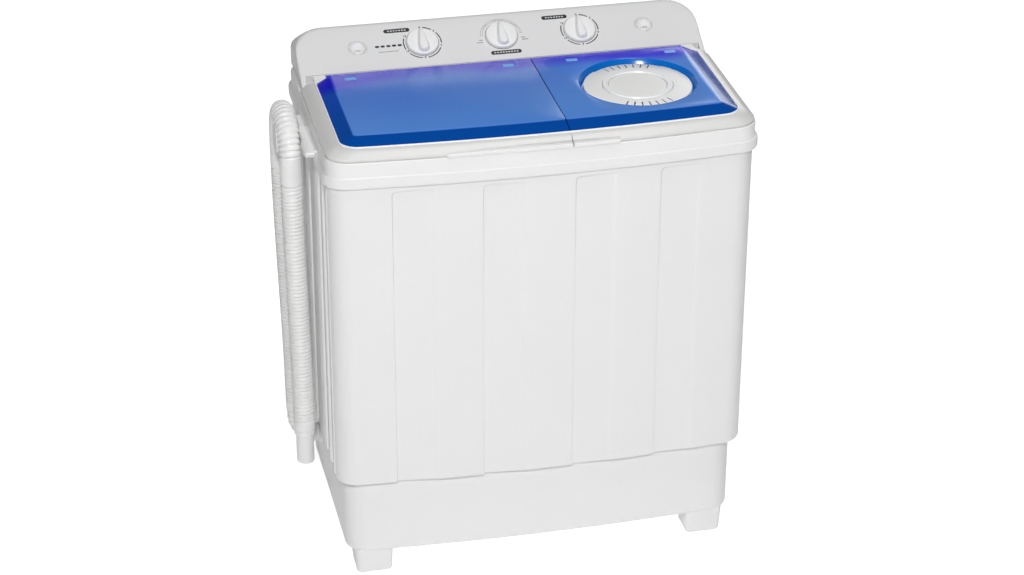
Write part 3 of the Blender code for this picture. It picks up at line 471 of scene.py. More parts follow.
def on_panel(x, s, lift=0.0):
    """Matrix of a point on the console's panel: Z square to it, Y up the slope."""
    y = CONSOLE_FRONT + s * math.cos(CONSOLE_TILT) - lift * math.sin(CONSOLE_TILT)
    z = DECK_TOP + GAP + s * math.sin(CONSOLE_TILT) + lift * math.cos(CONSOLE_TILT)
    return Matrix.Translation((x, y, z)) @ Matrix.Rotation(CONSOLE_TILT, 4, "X")


# ---------------------------------------------------------------- casing
def pleat_depth(x, z):
    """Depth of the front's pleats: a soft step back at the left edge and top, running out to the right."""
    for step in PLEAT_STEPS:
        into = x - step
        if -0.003 < into < PLEAT_WIDTH:
            down = PLEAT_TOP - z
            if into < PLEAT_CORNER and down < PLEAT_CORNER:
                inside = PLEAT_CORNER - math.hypot(PLEAT_CORNER - into, PLEAT_CORNER - down)
            else:
                inside = min(into, down)
            run = min(max(into / (PLEAT_WIDTH - 0.006), 0.0), 1.0)
            depth = PLEAT_DEPTH + (PLEAT_END_DEPTH - PLEAT_DEPTH) * run
            depth *= 1 - ramp(into, PLEAT_WIDTH - 0.006, PLEAT_WIDTH)
            return depth * ramp(inside, -0.0007, 0.0008)
    return 0.0


def groove_depth(y):
    for low, high in SIDE_GROOVES:
        if low - 0.004 < y < high + 0.004:
            inside = min(y - low, high - y)
            return SIDE_GROOVE_DEPTH * ramp(inside, -0.0018, 0.0018)
    return 0.0


def cabinet_columns():
    """Plan of the cabinet as (x, y, outward x, outward y, kind) from its back left corner round the front."""
    front, back = CABINET_LOW.y, CABINET_HIGH.y
    near_steps = (-0.045, -0.026, -0.012, -0.003, -0.0014, -0.0007, 0.0, 0.0008, 0.0016, 0.003, 0.005, 0.008,
                  0.014, 0.024, 0.036, 0.048, 0.058, 0.061, 0.0622, 0.064, 0.0658, 0.067)
    xs = {-CABINET_HALF + CORNER, CABINET_HALF - CORNER, 0.262, 0.275, 0.288, 0.300, -0.300}
    for step in PLEAT_STEPS:
        xs.update(step + d for d in near_steps)
    ys = {front + CORNER, back - 0.010}
    for low, high in SIDE_GROOVES:
        for edge in (low, high):
            ys.update(edge + d for d in (-0.0018, -0.0009, 0.0, 0.0009, 0.0018))
    ys = [y for y in sorted(ys) if front + CORNER <= y <= back - 0.010]
    left = [(-CABINET_HALF, y, -1, 0, "side") for y in reversed(ys)]
    right = [(CABINET_HALF, y, 1, 0, "side") for y in ys]

    def corner(start, count, steps, radius, kind):
        """Columns round one corner, whose outward direction turns a quarter from start."""
        found = []
        for i in range(1, count):
            nx, ny = cosd(start + 90 * i / steps), sind(start + 90 * i / steps)
            cx = math.copysign(CABINET_HALF - radius, cosd(start + 45))
            cy = front + radius if kind == "corner" else back - radius
            found.append((cx + radius * nx, cy + radius * ny, nx, ny, kind))
        return found
    corner_left, corner_right = corner(180, 14, 14, CORNER, "corner"), corner(270, 14, 14, CORNER, "corner")
    back_right, back_left = corner(0, 7, 6, 0.010, "back"), corner(90, 7, 6, 0.010, "back")
    face = [(x, front, 0, -1, "front") for x in sorted(xs)]
    return left + corner_left + face + corner_right + right + back_right + back_left[:-1]


def cabinet():
    """Deep-drawn casing with pleats in front, grooves on its sides and a turned-in lower lip."""
    low, high = CABINET_LOW.z, CABINET_HIGH.z
    columns = cabinet_columns()

    def loop(inset, z, relief=True):
        points = []
        for x, y, nx, ny, kind in columns:
            depth = inset
            if relief and kind == "front":
                depth += pleat_depth(x, z)
            elif relief and kind == "side":
                depth += groove_depth(y)
            px, py = x - nx * depth, y - ny * depth
            points.append((px, bowed(px, py), z))
        return points
    heights = [low + 0.004, 0.25, 0.35, 0.45, 0.55, 0.62, 0.66, 0.69, 0.700, 0.704, 0.7065, 0.708, 0.7095,
               0.711,
               0.7122, 0.7134, 0.7144, 0.7152, 0.716, 0.7167, 0.7174, 0.719, high]
    edge = [loop(0.016, low), loop(0.004, low)]
    edge += [loop(0.004 * (1 - sind(a)), low + 0.004 * (1 - cosd(a)))
             for a in (25, 50, 72)]
    loops = edge + [loop(0, z) for z in heights]
    loops += [loop(WALL, high), loop(WALL, low + WALL + 0.001), loop(0.016, low + WALL)]
    piece = loft("casing_skin", loops, WHITE, "body", ring=True, sharp=50)
    opening = box("cut", (-0.290, CABINET_HIGH.y - 0.03, 0.215), (0.290, CABINET_HIGH.y + 0.01, 0.690),
                  WHITE, None)
    boolean(piece, [opening])
    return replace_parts(piece, "cabinet")


def base():
    """Tray with a rounded lower edge and four square feet."""
    hx, front, back = BASE_HIGH.x, BASE_LOW.y, BASE_HIGH.y
    foot_height = 0.048
    top = BASE_HIGH.z

    def loop(inset, z):
        return rounded(-hx + inset, hx - inset, front + inset, back - inset, CORNER - inset, z)
    edge = 0.006
    loops = [loop(edge, foot_height)]
    loops += [loop(edge * (1 - sind(a)), foot_height + edge * (1 - cosd(a)))
              for a in (20, 45, 68, 90)]
    loops += [loop(0, foot_height + 0.03), loop(0, top), loop(WALL, top), loop(WALL, foot_height + edge)]
    tray = loft("base_tray", loops, WHITE, "body", sharp=50)
    hole = turned("cut", [(0.0175, -0.03), (0.0175, 0.03)], WHITE, None,
                  Matrix.Translation((-hx, HOSE_BACK_Y, DRAIN_Z)) @ Matrix.Rotation(math.pi / 2, 4, "Y"))
    boolean(tray, [hole], 40)
    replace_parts(tray, "base")
    for side in ("left", "right"):
        for end in ("front", "rear"):
            cx, cy, _ = middle(f"foot_pad_{end}_{side}")
            loops = []
            for grow, z in ((-0.0050, 0.0040), (-0.0030, 0.0046), (-0.0022, 0.0065),
                            (0.0, foot_height + 0.004)):
                hx, hy = 0.032 + grow, 0.030 + grow
                loops.append(rounded(cx - hx, cx + hx, cy - hy, cy + hy, 0.008, z, 8, False, 2, 2))
            loft(f"foot_{end}_{side}", loops, WHITE, "body", sharp=50)


def rim():
    """Top rim: a proud lower band that bulges along the sides, a plain upper band and the deck."""
    low = RIM_LOW.z
    bulge = RIM_HIGH.x

    def loop(half, inset, z, radius=CORNER):
        return rounded(-half, half, -HALF_DEPTH + inset, HALF_DEPTH - inset, radius, z, side_steps=10)
    loops = [loop(RIM_HALF - WALL, WALL + 0.001, DECK_TOP - 0.004, 0.031),
             loop(RIM_HALF - WALL, WALL + 0.001, low, 0.031), loop(bulge - 0.0030, 0.0022, low)]
    loops += [loop(bulge - 0.0030 * (1 - sind(a)), 0.0022 * (1 - sind(a)),
                   low + 0.004 * (1 - cosd(a))) for a in (25, 50, 72, 90)]
    band = RIM_BAND_TOP
    loops += [loop(bulge, 0, band - 0.0035), loop(bulge - 0.0006, 0.0002, band - 0.0016),
              loop(bulge - 0.0020, 0.0009, band - 0.0004), loop(RIM_HALF + 0.0006, 0.0014, band),
              loop(RIM_HALF, 0.0016, band + 0.0006)]
    top_edge = 0.0025
    loops += [loop(RIM_HALF, 0.0016, DECK_TOP - top_edge)]
    loops += [loop(RIM_HALF - top_edge * (1 - cosd(a)),
                   0.0016 + top_edge * (1 - cosd(a)),
                   DECK_TOP - top_edge * (1 - sind(a))) for a in (30, 60, 90)]
    piece = loft("top_rim", loops, WHITE, "body", sharp=50)
    tub_low, tub_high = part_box("wash_tub")
    flange = 0.012
    wash = loft("cut", [rounded(tub_low.x + flange, tub_high.x - flange, tub_low.y + flange,
                                tub_high.y - flange, 0.040, z, bow=False) for z in (0.70, 0.80)], WHITE, None)
    cx, cy, _ = middle("spin_chamber")
    spin = turned("cut", [(0.128, 0.70), (0.128, 0.80)], WHITE, None, Matrix.Translation((cx, cy, 0)))
    boolean(piece, [wash, spin], 50)
    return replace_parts(piece, "top_frame")


# ---------------------------------------------------------------- console
def console_section(x):
    """Section of the console at x; its top and its ends are rounded."""
    into = max(abs(x) - (CONSOLE_HALF - CONSOLE_CORNER), 0.0) / CONSOLE_CORNER
    drop = CONSOLE_CORNER * (1 - math.sqrt(max(1 - min(into, 1.0) ** 2, 0.0)))
    run = CONSOLE_RUN - drop
    cos_t, sin_t = math.cos(CONSOLE_TILT), math.sin(CONSOLE_TILT)
    floor = DECK_TOP + GAP
    top_y, top_z = CONSOLE_FRONT + run * cos_t, floor + run * sin_t
    soft = 0.009
    end = 0.0035
    shrink = end * (1 - math.sqrt(max(1 - max((abs(x) - CONSOLE_HALF + end) / end, 0.0) ** 2, 0.0)))
    sink_y, sink_z = shrink * sin_t, -shrink * cos_t
    crest = Vector((top_y - soft * cos_t, top_z - soft * sin_t))
    peak = Vector((top_y + 0.0035, top_z + 0.0012))
    tail = Vector((CONSOLE_BACK, top_z - 0.012))
    outline = [Vector((CONSOLE_FRONT, floor)).lerp(crest, k / 8) for k in range(1, 9)]
    for k in range(1, 9):
        t = k / 9
        outline.append(crest.lerp(peak, t).lerp(peak.lerp(tail, t), t))
    outline.append(tail)
    section = [(CONSOLE_FRONT + 0.0006, floor)]
    section += [(min(y + sink_y, CONSOLE_BACK), max(z + sink_z, floor + 0.0002)) for y, z in outline]
    section.append((CONSOLE_BACK, floor))
    return [(x, y, z) for y, z in section]


def console():
    """Control console across the back with big round top corners."""
    end, radius = CONSOLE_HALF, CONSOLE_CORNER
    stations = [end - radius * (1 - sind(a)) for a in range(0, 91, 5)]
    stations += [end - 0.0035 * (1 - sind(a)) for a in range(0, 90, 12)]
    stations += [0.333, 0.255, 0.2, 0.15, 0.1, 0.05]
    stations = sorted(set(round(s, 6) for s in stations))
    loops = [console_section(x) for x in [-x for x in reversed(stations)] + [0.0] + stations]
    piece = loft("console_shell", loops, PANEL_WHITE, "body", sharp=40)
    cutters = [box("cut", (-0.333, 0.070, 0.760), (0.333, NOTCH_BACK, 0.800), WHITE, None)]
    for name in ("inlet_left", "inlet_right"):
        radius = INLET_RADIUS + 0.0012
        cutters.append(turned("cut", [(radius, -0.02), (radius, 0.02)], WHITE, None,
                              on_panel(middle(name)[0], CONTROL_S)))
    boolean(piece, cutters, 40)
    bevel(piece, 0.0008, angle=45)
    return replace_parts(piece, "console")


def inlet(name):
    """Water inlet: a smooth dish with an oval nozzle low in it, whose slot is a grey bar of painted shade."""
    x = middle(name)[0]
    place = on_panel(x, CONTROL_S)
    r = INLET_RADIUS
    profile = [(r + 0.0010, -0.004), (r + 0.0012, -0.0004), (r + 0.0008, 0.0005), (r, 0.0006),
               (r - 0.0008, 0.0001)]
    profile += [((r - 0.001) * cosd(a), -0.0070 * sind(a))
                for a in (10, 20, 32, 44, 56, 68, 80)]
    profile += [(0.0005, -0.0071), (0.0005, -0.0100), (r - 0.002, -0.0095)]
    dish = turned(f"{name}_dish", profile, PANEL_WHITE, "body", place, ring=True, sharp=60)
    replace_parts(dish, name)
    bm = bmesh.new()
    bmesh.ops.create_uvsphere(bm, u_segments=32, v_segments=16, radius=1.0)
    bmesh.ops.transform(bm, matrix=place @ Matrix.Translation((0.0005, -0.0062, -0.0045))
                        @ Matrix.Diagonal((0.0075, 0.0050, 0.0030, 1)), verts=bm.verts)
    add(f"{name}_nozzle", bm, PANEL_WHITE, "body", 60)
    # The slit is a grey bar of painted shade where the nozzle's slot is.
    slit = on_panel(x + 0.0005, CONTROL_S - 0.0056, -0.0014)
    bar(f"{name}_slit", slit, 0.0065, 0.0009, GREY_INK_AND_SHADE, 0.0004)


def stadium(length, width, steps=8):
    """Outline of a bar with round ends, about the origin."""
    r = width / 2
    half = length / 2 - r
    points = []
    for cx, start in ((half, -90), (-half, 90)):
        for i in range(steps + 1):
            a = start + 180 * i / steps
            points.append((cx + r * cosd(a), r * sind(a)))
    return points


def bar(name, place, length, width, material, height=0.00016, body="body"):
    """A thin raised bar with round ends, such as a printed mark."""
    loops = [[tuple(place @ Vector((x, y, z))) for x, y in stadium(length, width)] for z in (-0.0002, height)]
    return loft(name, loops, material, body, sharp=40)


def arc_band(name, place, inner, outer, start, stop, material, height=0.00015):
    """A thin raised arc, in degrees clockwise from the top of the dial."""
    steps = max(int(abs(stop - start) / 4), 2)
    loops = []
    for i in range(steps + 1):
        a = math.radians(90 - (start + (stop - start) * i / steps))
        section = [(inner, -0.0002), (outer, -0.0002), (outer, height), (inner, height)]
        loops.append([tuple(place @ Vector((r * math.cos(a), r * math.sin(a), z))) for r, z in section])
    return loft(name, loops, material, "body", sharp=40)


def numeral(name, text, place, size):
    """A number on a dial, as thin raised geometry."""
    curve = bpy.data.curves.new(name, "FONT")
    curve.body = text
    curve.size = size
    curve.align_x = "CENTER"
    curve.align_y = "CENTER"
    curve.extrude = 0.00008
    curve.offset = size * 0.025
    curve.resolution_u = 3
    maker = put(name, curve)
    mesh = baked(maker)
    bpy.data.objects.remove(maker, do_unlink=True)
    bpy.data.curves.remove(curve)
    mesh.transform(place @ Matrix.Translation((0, 0, 0.0001)))
    mesh.materials.clear()
    mesh.materials.append(DARK_INK_AND_SHADE)
    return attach(put(name, mesh), "body")


def knob(prefix, body):
    """Round knob with a raised teardrop grip, narrow at the top."""
    x = middle(f"{prefix}_knob")[0]
    place = on_panel(x, CONTROL_S)
    r = KNOB_RADIUS
    rings = 30
    sides = 96
    bm = bmesh.new()

    def height(px, py):
        radius = math.hypot(px, py) / r
        crown = 0.0056 - 0.0008 * radius ** 2
        rim_drop = 0.0030 * ramp(radius, 0.94, 1.0) ** 1.5
        down = (0.80 * r - py) / (1.62 * r)
        half = 0.0032 + 0.0060 * math.sin(min(max(down, 0.0), 1.0) * math.pi * 0.56)
        end = -0.58 * r
        if py < end:
            dist = 0.0090 - math.hypot(px, (py - end) * 1.15)
        else:
            dist = half - abs(px)
        dist = min(dist, 0.86 * r - py)
        grip = ramp(dist, -0.0008, 0.0030)
        return crown - rim_drop + 0.0076 * grip * (1 - 0.25 * (px / 0.010) ** 2 * grip)
    centre = bm.verts.new(place @ Vector((0, 0, height(0, 0))))
    previous = [centre] * sides
    for k in range(1, rings + 2):
        radius = r * (min(k, rings) / rings) ** 0.9
        ring = [bm.verts.new(place @ Vector((px, py, height(px, py) if k <= rings else 0.0012)))
                for px, py, _ in circle(radius, 0.0, sides)]
        for i in range(sides):
            j = (i + 1) % sides
            bm.faces.new(dict.fromkeys((previous[i], ring[i], ring[j], previous[j])))
        previous = ring
    bm.faces.new(previous)
    piece = add(f"{prefix}_grip_knob", bm, KNOB_WHITE, body, 50)
    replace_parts(piece, f"{prefix}_knob")
    # Grey ring round the knob's foot: painted shade of the gap between knob and panel.
    ring_profile = [(r + 0.0004, 0.0002), (r + 0.0011, 0.0002), (r + 0.0011, 0.0005), (r + 0.0004, 0.0005)]
    turned(f"{prefix}_ring", ring_profile, GREY_INK_AND_SHADE, "body", place, steps=96, ring=True)
    return x


def on_dial(place, radius, angle, turn=90):
    """Matrix of a point on a dial, at an angle clockwise from its top."""
    a = math.radians(90 - angle)
    return place @ Matrix.Translation((radius * math.cos(a), radius * math.sin(a), 0)) \
        @ Matrix.Rotation(a - math.radians(turn), 4, "Z")


def timer_dial(prefix, x):
    """Six numbers joined by five arcs, and none between the last and the first."""
    place = on_panel(x, CONTROL_S)
    hours = (0, 45, 105, 180, 240, 300)
    dial = 0.0316
    for k, (angle, text) in enumerate(zip(hours, ("0", "3", "6", "9", "12", "15"))):
        numeral(f"{prefix}_number_{k}", text, on_dial(place, dial, angle, 90 - angle), 0.0056)
        if k < 5:
            arc_band(f"{prefix}_arc_{k}", place, dial - 0.0009, dial + 0.0009, angle + 9, hours[k + 1] - 9,
                     DARK_INK_AND_SHADE)


def selector_dial(x):
    """A pale outlined band over the top half of the knob, with a mark at each setting."""
    place = on_panel(x, CONTROL_S)
    for k, radius in enumerate((0.0318, 0.0352)):
        arc_band(f"selector_line_{k}", place, radius, radius + 0.0006, -84, 84, GREY_INK_AND_SHADE)
    for k, angle in enumerate((-84, 84)):
        bar(f"selector_end_{k}", on_dial(place, 0.0337, angle, 0), 0.0038, 0.0005, GREY_INK_AND_SHADE)
    for k, angle in enumerate((-58, -50, -42, -12, -6, 0, 6, 12, 42, 50, 58)):
        bar(f"selector_tick_{k}", on_dial(place, 0.0337, angle), 0.0022, 0.0012, GREY_INK_AND_SHADE)
    for side in (-1, 1):
        for k, (dx, ds, length) in enumerate(((0.0360, -0.0060, 0.007), (0.0385, -0.0105, 0.011))):
            spot = on_panel(x + side * dx, CONTROL_S + ds)
            bar(f"selector_word_{side + 1}_{k}", spot, length, 0.0016, GREY_INK_AND_SHADE)


def plate(name, x, s, length):
    """A dark rounded label with plain pale dashes."""
    place = on_panel(x, s)
    bar(name, place, length, 0.0078, DARK_INK_AND_SHADE)
    count = int(length / 0.0052) - 1
    for k in range(count):
        dx = (k - (count - 1) / 2) * 0.0047
        bar(f"{name}_dash_{k}", place @ Matrix.Translation((dx, 0, 0.0001)), 0.0034, 0.0022, INK_PALE)


def panel_marks(x_wash, x_selector, x_spin):
    timer_dial("wash_dial", x_wash)
    timer_dial("spin_dial", x_spin)
    selector_dial(x_selector)
    plate("wash_plate", -0.169, 0.112, 0.044)
    plate("selector_plate", x_selector + 0.002, 0.049, 0.052)
    plate("spin_plate", 0.100, 0.113, 0.044)
    for k in range(5):
        bar(f"mark_dash_{k}", on_panel(-0.2065 + 0.0095 * k, 0.0815), 0.0070, 0.0042, DARK_INK_AND_SHADE)
    bar("mark_line", on_panel(-0.1885, 0.0700), 0.034, 0.0013, GREY_INK_AND_SHADE)


# ---------------------------------------------------------------- lids
def lid_path(half, front, radius):
    """Outline of the lids from the back left corner round the front; two outlines match point by point."""
    side_end = front + radius
    points = [(-half, APRON_BACK + (side_end - APRON_BACK) * k / 9) for k in range(10)]
    for k in range(1, 15):
        a = 180 + 90 * k / 15
        points.append((-half + radius + radius * cosd(a), side_end + radius * sind(a)))
    points += [(-half + radius + (half - radius) * k / 16, front) for k in range(17)]
    mirrored = [(-x, y) for x, y in reversed(points[:-1])]
    return [(x, bowed(x, y)) for x, y in points + mirrored]


def lid_section(outer, inner):
    """Closed section of the apron from its outer edge to the window's lip."""
    (ox, oy), (ix, iy) = outer, inner
    lip = 0.0016
    low = LID_BOTTOM
    step = Vector((ix - ox, iy - oy))
    n = step.normalized()

    def at(d, z, from_inner=False):
        base_point = Vector((ix, iy)) if from_inner else Vector((ox, oy))
        p = base_point + n * d
        return (p.x, p.y, z)
    edge = LID_EDGE_Z
    section = [at(0.0030, low), at(0.0010, low + 0.0003), at(0.0002, low + 0.0012), at(0.0, edge - 0.0020),
               at(0.0004, edge - 0.0006), at(0.0014, edge + 0.0006), at(0.0032, edge + 0.0016)]
    for t in (0.35, 0.6, 0.8):
        d = 0.0032 + (step.length - 0.0032 - lip - 0.0020) * t
        z = edge + 0.0016 + (WINDOW_Z - 0.0028 - edge) * math.sin(t * math.pi / 2) ** 0.9
        section.append(at(d, z))
    top = WINDOW_Z
    return section + [at(d, z, True) for d, z in (
        (-lip - 0.0020, top - 0.0010), (-lip - 0.0006, top - 0.0008), (-lip + 0.0001, top + 0.0004),
        (-lip + 0.0008, top + 0.0007), (-0.0004, top + 0.0004), (0.0, top - 0.0002), (0.0, top - 0.0035),
        (-0.0060, low + 0.004), (-0.0060, low))]


def apron(name, x0, x1, node, body):
    """White border of one lid, with a lip round the window and a finger grip in front; the lip's brighter
    white is a painted highlight.
    """
    outer = lid_path(LID_HALF, LID_FRONT, 0.034)
    inner = lid_path(WINDOW_HALF, WINDOW_FRONT, WINDOW_CORNER)
    pairs = list(zip(outer, inner))
    sections = []
    for (a, b), (c, d) in zip(pairs, pairs[1:]):
        if x0 <= a[0] <= x1:
            sections.append((a, b))
        for edge in (x0, x1):
            if min(a[0], c[0]) < edge < max(a[0], c[0]) and abs(a[1] - c[1]) < 0.01 and abs(a[0]) < 0.31:
                t = (edge - a[0]) / (c[0] - a[0])
                u = (edge - b[0]) / (d[0] - b[0])
                sections.append(((edge, a[1] + (c[1] - a[1]) * t), (edge, b[1] + (d[1] - b[1]) * u)))
    if x0 <= pairs[-1][0][0] <= x1:
        sections.append(pairs[-1])
    piece = loft(name, [lid_section(o, i) for o, i in sections], LID_WHITE, body, sharp=50)
    place = Matrix.Translation((GRIP_MID, LID_FRONT, 0.7785)) @ Matrix.Rotation(math.pi / 2, 4, "X")
    cutter = loft("cut", [[tuple(place @ Vector((x, y, z))) for x, y in stadium(GRIP_LENGTH, 0.0050)]
                          for z in (-0.0055, 0.02)], WHITE, None)
    boolean(piece, [cutter, behind_lids()], 40)
    bevel(piece, 0.0006, angle=40)
    # The lip is given a brighter white, a painted highlight along the window's edge.
    rows = []
    for (ox, oy), (ix, iy) in sections:
        n = Vector((ix - ox, iy - oy)).normalized()
        rows.append([(ix + n.x * d, iy + n.y * d, WINDOW_Z + z) for d, z in
                     ((-0.0024, -0.0012), (-0.0024, 0.0004), (-0.0019, 0.0010), (-0.0004, 0.0010),
                      (0.0001, 0.0004), (0.0001, -0.0012))])
    lip = loft(f"{name}_lip", rows, HIGHLIGHT_WHITE, body, sharp=60)
    boolean(lip, [behind_lids()])
    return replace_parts(piece, node)


def behind_lids():
    """Everything behind a plane that stands just in front of the console's panel."""
    low, high = on_panel(0, -0.02, 0.0012).translation, on_panel(0, 0.10, 0.0012).translation
    outline = [(low.y, low.z), (high.y, high.z), (0.4, high.z), (0.4, low.z)]
    return loft("cut", [[(x, y, z) for y, z in outline] for x in (-0.5, 0.5)], WHITE, None)


def grip_ledge(name, x0, x1, body):
    """The pale ledge under the finger groove, one length on each lid."""
    loops = []
    for depth, shrink in ((0.004, 0.0), (-0.0012, 0.0), (-0.0024, 0.0008), (-0.0030, 0.0024)):
        loop = []
        for x, z in stadium(GRIP_LENGTH - shrink, 0.0076 - shrink, 10):
            px = min(max(GRIP_MID + x, x0), x1)
            loop.append((px, bowed(px, LID_FRONT) + depth, 0.7735 + z))
        loops.append(loop)
    bm = bmesh.new()
    skin(bm, loops)
    bmesh.ops.remove_doubles(bm, verts=bm.verts, dist=1e-6)
    return add(name, bm, WHITE, body, 40)


def back_arc(far, back, side, turn):
    """A rounded back corner, from the back edge round to the side."""
    return [(far - side * turn * (1 - sind(15 * k)), back - turn * (1 - cosd(15 * k))) for k in range(7)]


def window_loop(x0, x1, z, level, inset=0.0):
    """Outline of one window: level 0 is its edge, 1 the edge of the raised field."""
    half = WINDOW_HALF - GAP - inset + (FIELD_HALF - WINDOW_HALF) * level
    front = WINDOW_FRONT + GAP + inset + (FIELD_FRONT - WINDOW_FRONT) * level
    back = FIELD_BACK + 0.0008 * (1 - level) - inset
    radius = WINDOW_CORNER - 0.024 * level
    left = x0 < -0.3
    near, far = (x1 - inset, -half) if left else (x0 + inset, half)
    side = -1 if left else 1
    steps = 12
    turn = BACK_CORNER * (1 - 0.9 * level)
    points = back_arc(far, back, side, turn)
    for k in range(steps + 1):
        a = 90 * k / steps
        points.append((far - side * radius * (1 - cosd(a)), front + radius * (1 - sind(a))))
    start = far - side * radius
    points += [(start + (near - start) * k / 12, front) for k in range(1, 13)]
    points.append((near, back))
    return [(x, bowed(x, y), z) for x, y in points]


def window_corner(name, side, body):
    """White filling behind the window's rounded back corner, flush with the lip and in its brighter white of
    painted highlight.
    """
    half = side * (WINDOW_HALF + 0.0004)
    arc = back_arc(half, FIELD_BACK + 0.0012, side, BACK_CORNER)
    outline = [(half - side * BACK_CORNER, WINDOW_BACK), (half, WINDOW_BACK)] + arc[::-1]
    loops = [[(x, y, WINDOW_Z + z) for x, y in outline] for z in (-0.0040, 0.0004)]
    bevel(loft(name, loops, HIGHLIGHT_WHITE, body), 0.0004)


def window(name, x0, x1, node, body, hinges):
    """Clear blue window with a raised field, a flat strip over the hinges and the hinge bosses below it."""
    t = WINDOW_SHEET
    loops = [window_loop(x0, x1, FIELD_Z - t, 1, 0.0012), window_loop(x0, x1, WINDOW_Z - t, 0, 0.0016),
             window_loop(x0, x1, WINDOW_Z - t, 0), window_loop(x0, x1, WINDOW_Z, 0),
             window_loop(x0, x1, FIELD_Z, 1)]
    bm = bmesh.new()
    skin(bm, loops)
    piece = add(name, bm, BLUE, body, 12)
    if "spin" in name:
        hole = turned("cut", [(VENT_RECESS, 0.77), (VENT_RECESS, 0.81)], BLUE, None,
                      Matrix.Translation((*VENT, 0)), steps=96)
        boolean(piece, [hole])
    bevel(piece, 0.0020, 3, 9)
    apply(piece)
    smooth(piece.data, 28)
    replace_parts(piece, node)
    reach = WINDOW_HALF - BACK_CORNER
    x_low, x_high = max(x0, -reach), min(x1, reach)
    window_corner(f"{name}_corner", -1 if x0 < -0.3 else 1, body)
    strip = box(f"{name}_strip", (x_low, FIELD_BACK + 0.0008, WINDOW_Z - t),
                (x_high, WINDOW_BACK, WINDOW_Z - 0.0002), BLUE, body)
    bevel(strip, 0.0005)
    for k, x in enumerate(hinges):
        tab = box(f"{name}_tab_{k}", (x - 0.0095, FIELD_BACK - 0.027, FIELD_Z - 0.0010),
                  (x + 0.0095, FIELD_BACK - 0.016, FIELD_Z + 0.0001), TAB, body)
        bevel(tab, 0.0004)
        boss = turned(f"{name}_boss_{k}", [(0.0034, -0.0068), (0.0034, 0.0068)], BLUE, body,
                      Matrix.Translation((x, middle("lid_hinge_1")[1], 0.7815))
                      @ Matrix.Rotation(math.pi / 2, 4, "Y"), steps=24)
        bevel(boss, 0.0004)


def vent():
    """White round vent of the spin lid: radial slots front and back with dark painted shade under them, a
    raised ring whose brighter white is a painted highlight, grey painted shade lines at the ring's foot and a
    plain disc.
    """
    place = Matrix.Translation((*VENT, 0))
    z = VENT_Z

    def rim_radius(angle):
        degrees = math.degrees(angle) % 360
        inside = min(degrees - 49, 131 - degrees)
        return VENT_RADIUS - 0.0024 * ramp(inside, -0.6, 0.6)
    steps = 360
    inner, outer = VENT_RING
    profile = [(0.90, -0.0060, 1), (1.0, -0.0055, 1), (1.0, -0.0016, 1), (0.994, -0.0005, 1), (0.982, 0.0, 1),
               (outer + 0.0009, 0.0004, 0), (outer + 0.0004, -0.0002, 0), (outer, -0.0002, 0),
               (outer - 0.0006, 0.0014, 0), (outer - 0.0020, 0.0022, 0), (inner + 0.0020, 0.0022, 0),
               (inner + 0.0006, 0.0014, 0), (inner, -0.0002, 0), (inner - 0.0006, -0.0002, 0),
               (inner - 0.0012, 0.0006, 0), (0.020, 0.0010, 0), (0.001, 0.0011, 0)]
    loops = []
    for radius, lift, scaled in profile:
        loop = []
        for i in range(steps):
            a = math.tau * i / steps
            r = radius * rim_radius(a) if scaled else radius
            loop.append(tuple(place @ Vector((r * math.cos(a), r * math.sin(a), z + lift))))
        loops.append(loop)
    slots = [(side, k, place @ Matrix.Rotation(math.radians(side + 9.2 * k), 4, "Z")
              @ Matrix.Translation((0.0762, 0, 0))) for side in (90, 270) for k in range(-3, 4)]
    bm = bmesh.new()
    skin(bm, loops)
    piece = add("vent_disc", bm, DISC_WHITE, "spin_lid", 40)
    boolean(piece, [loft("cut", [[tuple(turn @ Vector((x, y, height))) for x, y in stadium(0.0150, 0.0022, 4)]
                                 for height in (z - 0.0035, z + 0.01)], WHITE, None)
                    for side, k, turn in slots], 40)
    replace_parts(piece, "spin_vent_cap")
    # Under each slot lies a dark sheet of painted shade.
    for side, k, turn in slots:
        spot = turn @ Matrix.Translation((0, 0, z - 0.0006))
        bar(f"vent_slot_shade_{side}_{k + 3}", spot, 0.0148, 0.0020, DARK_INK_AND_SHADE, 0.0004, "spin_lid")
    # The raised ring's brighter white is a painted highlight.
    ring = [(inner + 0.0004, z + 0.0010), (inner + 0.0012, z + 0.0024), (outer - 0.0012, z + 0.0024),
            (outer - 0.0004, z + 0.0010)]
    turned("vent_ring", ring, HIGHLIGHT_WHITE, "spin_lid", place, steps=128, ring=True, sharp=60)
    # Thin grey lines at the ring's foot: painted shade in the creases.
    for k, radius in enumerate((inner - 0.0003, outer + 0.0002)):
        turned(f"vent_line_{k}", [(radius - 0.0001, z - 0.0002), (radius + 0.0004, z - 0.0002),
                                  (radius + 0.0004, z + 0.0002), (radius - 0.0001, z + 0.0002)], GREY_INK_AND_SHADE,
               "spin_lid", place, steps=128, ring=True)
    wall = [(VENT_RECESS + 0.0004, FIELD_Z - 0.0002), (VENT_RECESS - 0.0004, FIELD_Z + 0.0004),
            (VENT_RECESS - 0.0012, FIELD_Z - 0.0002), (VENT_RADIUS + 0.0022, z - 0.0060),
            (VENT_RADIUS + 0.0004, z - 0.0064), (VENT_RADIUS + 0.0004, z - 0.0084),
            (VENT_RADIUS + 0.0040, z - 0.0080), (VENT_RECESS + 0.0004, FIELD_Z - 0.0030)]
    turned("vent_recess", wall, RECESS_BLUE, "spin_lid", place, steps=128, ring=True, sharp=50)


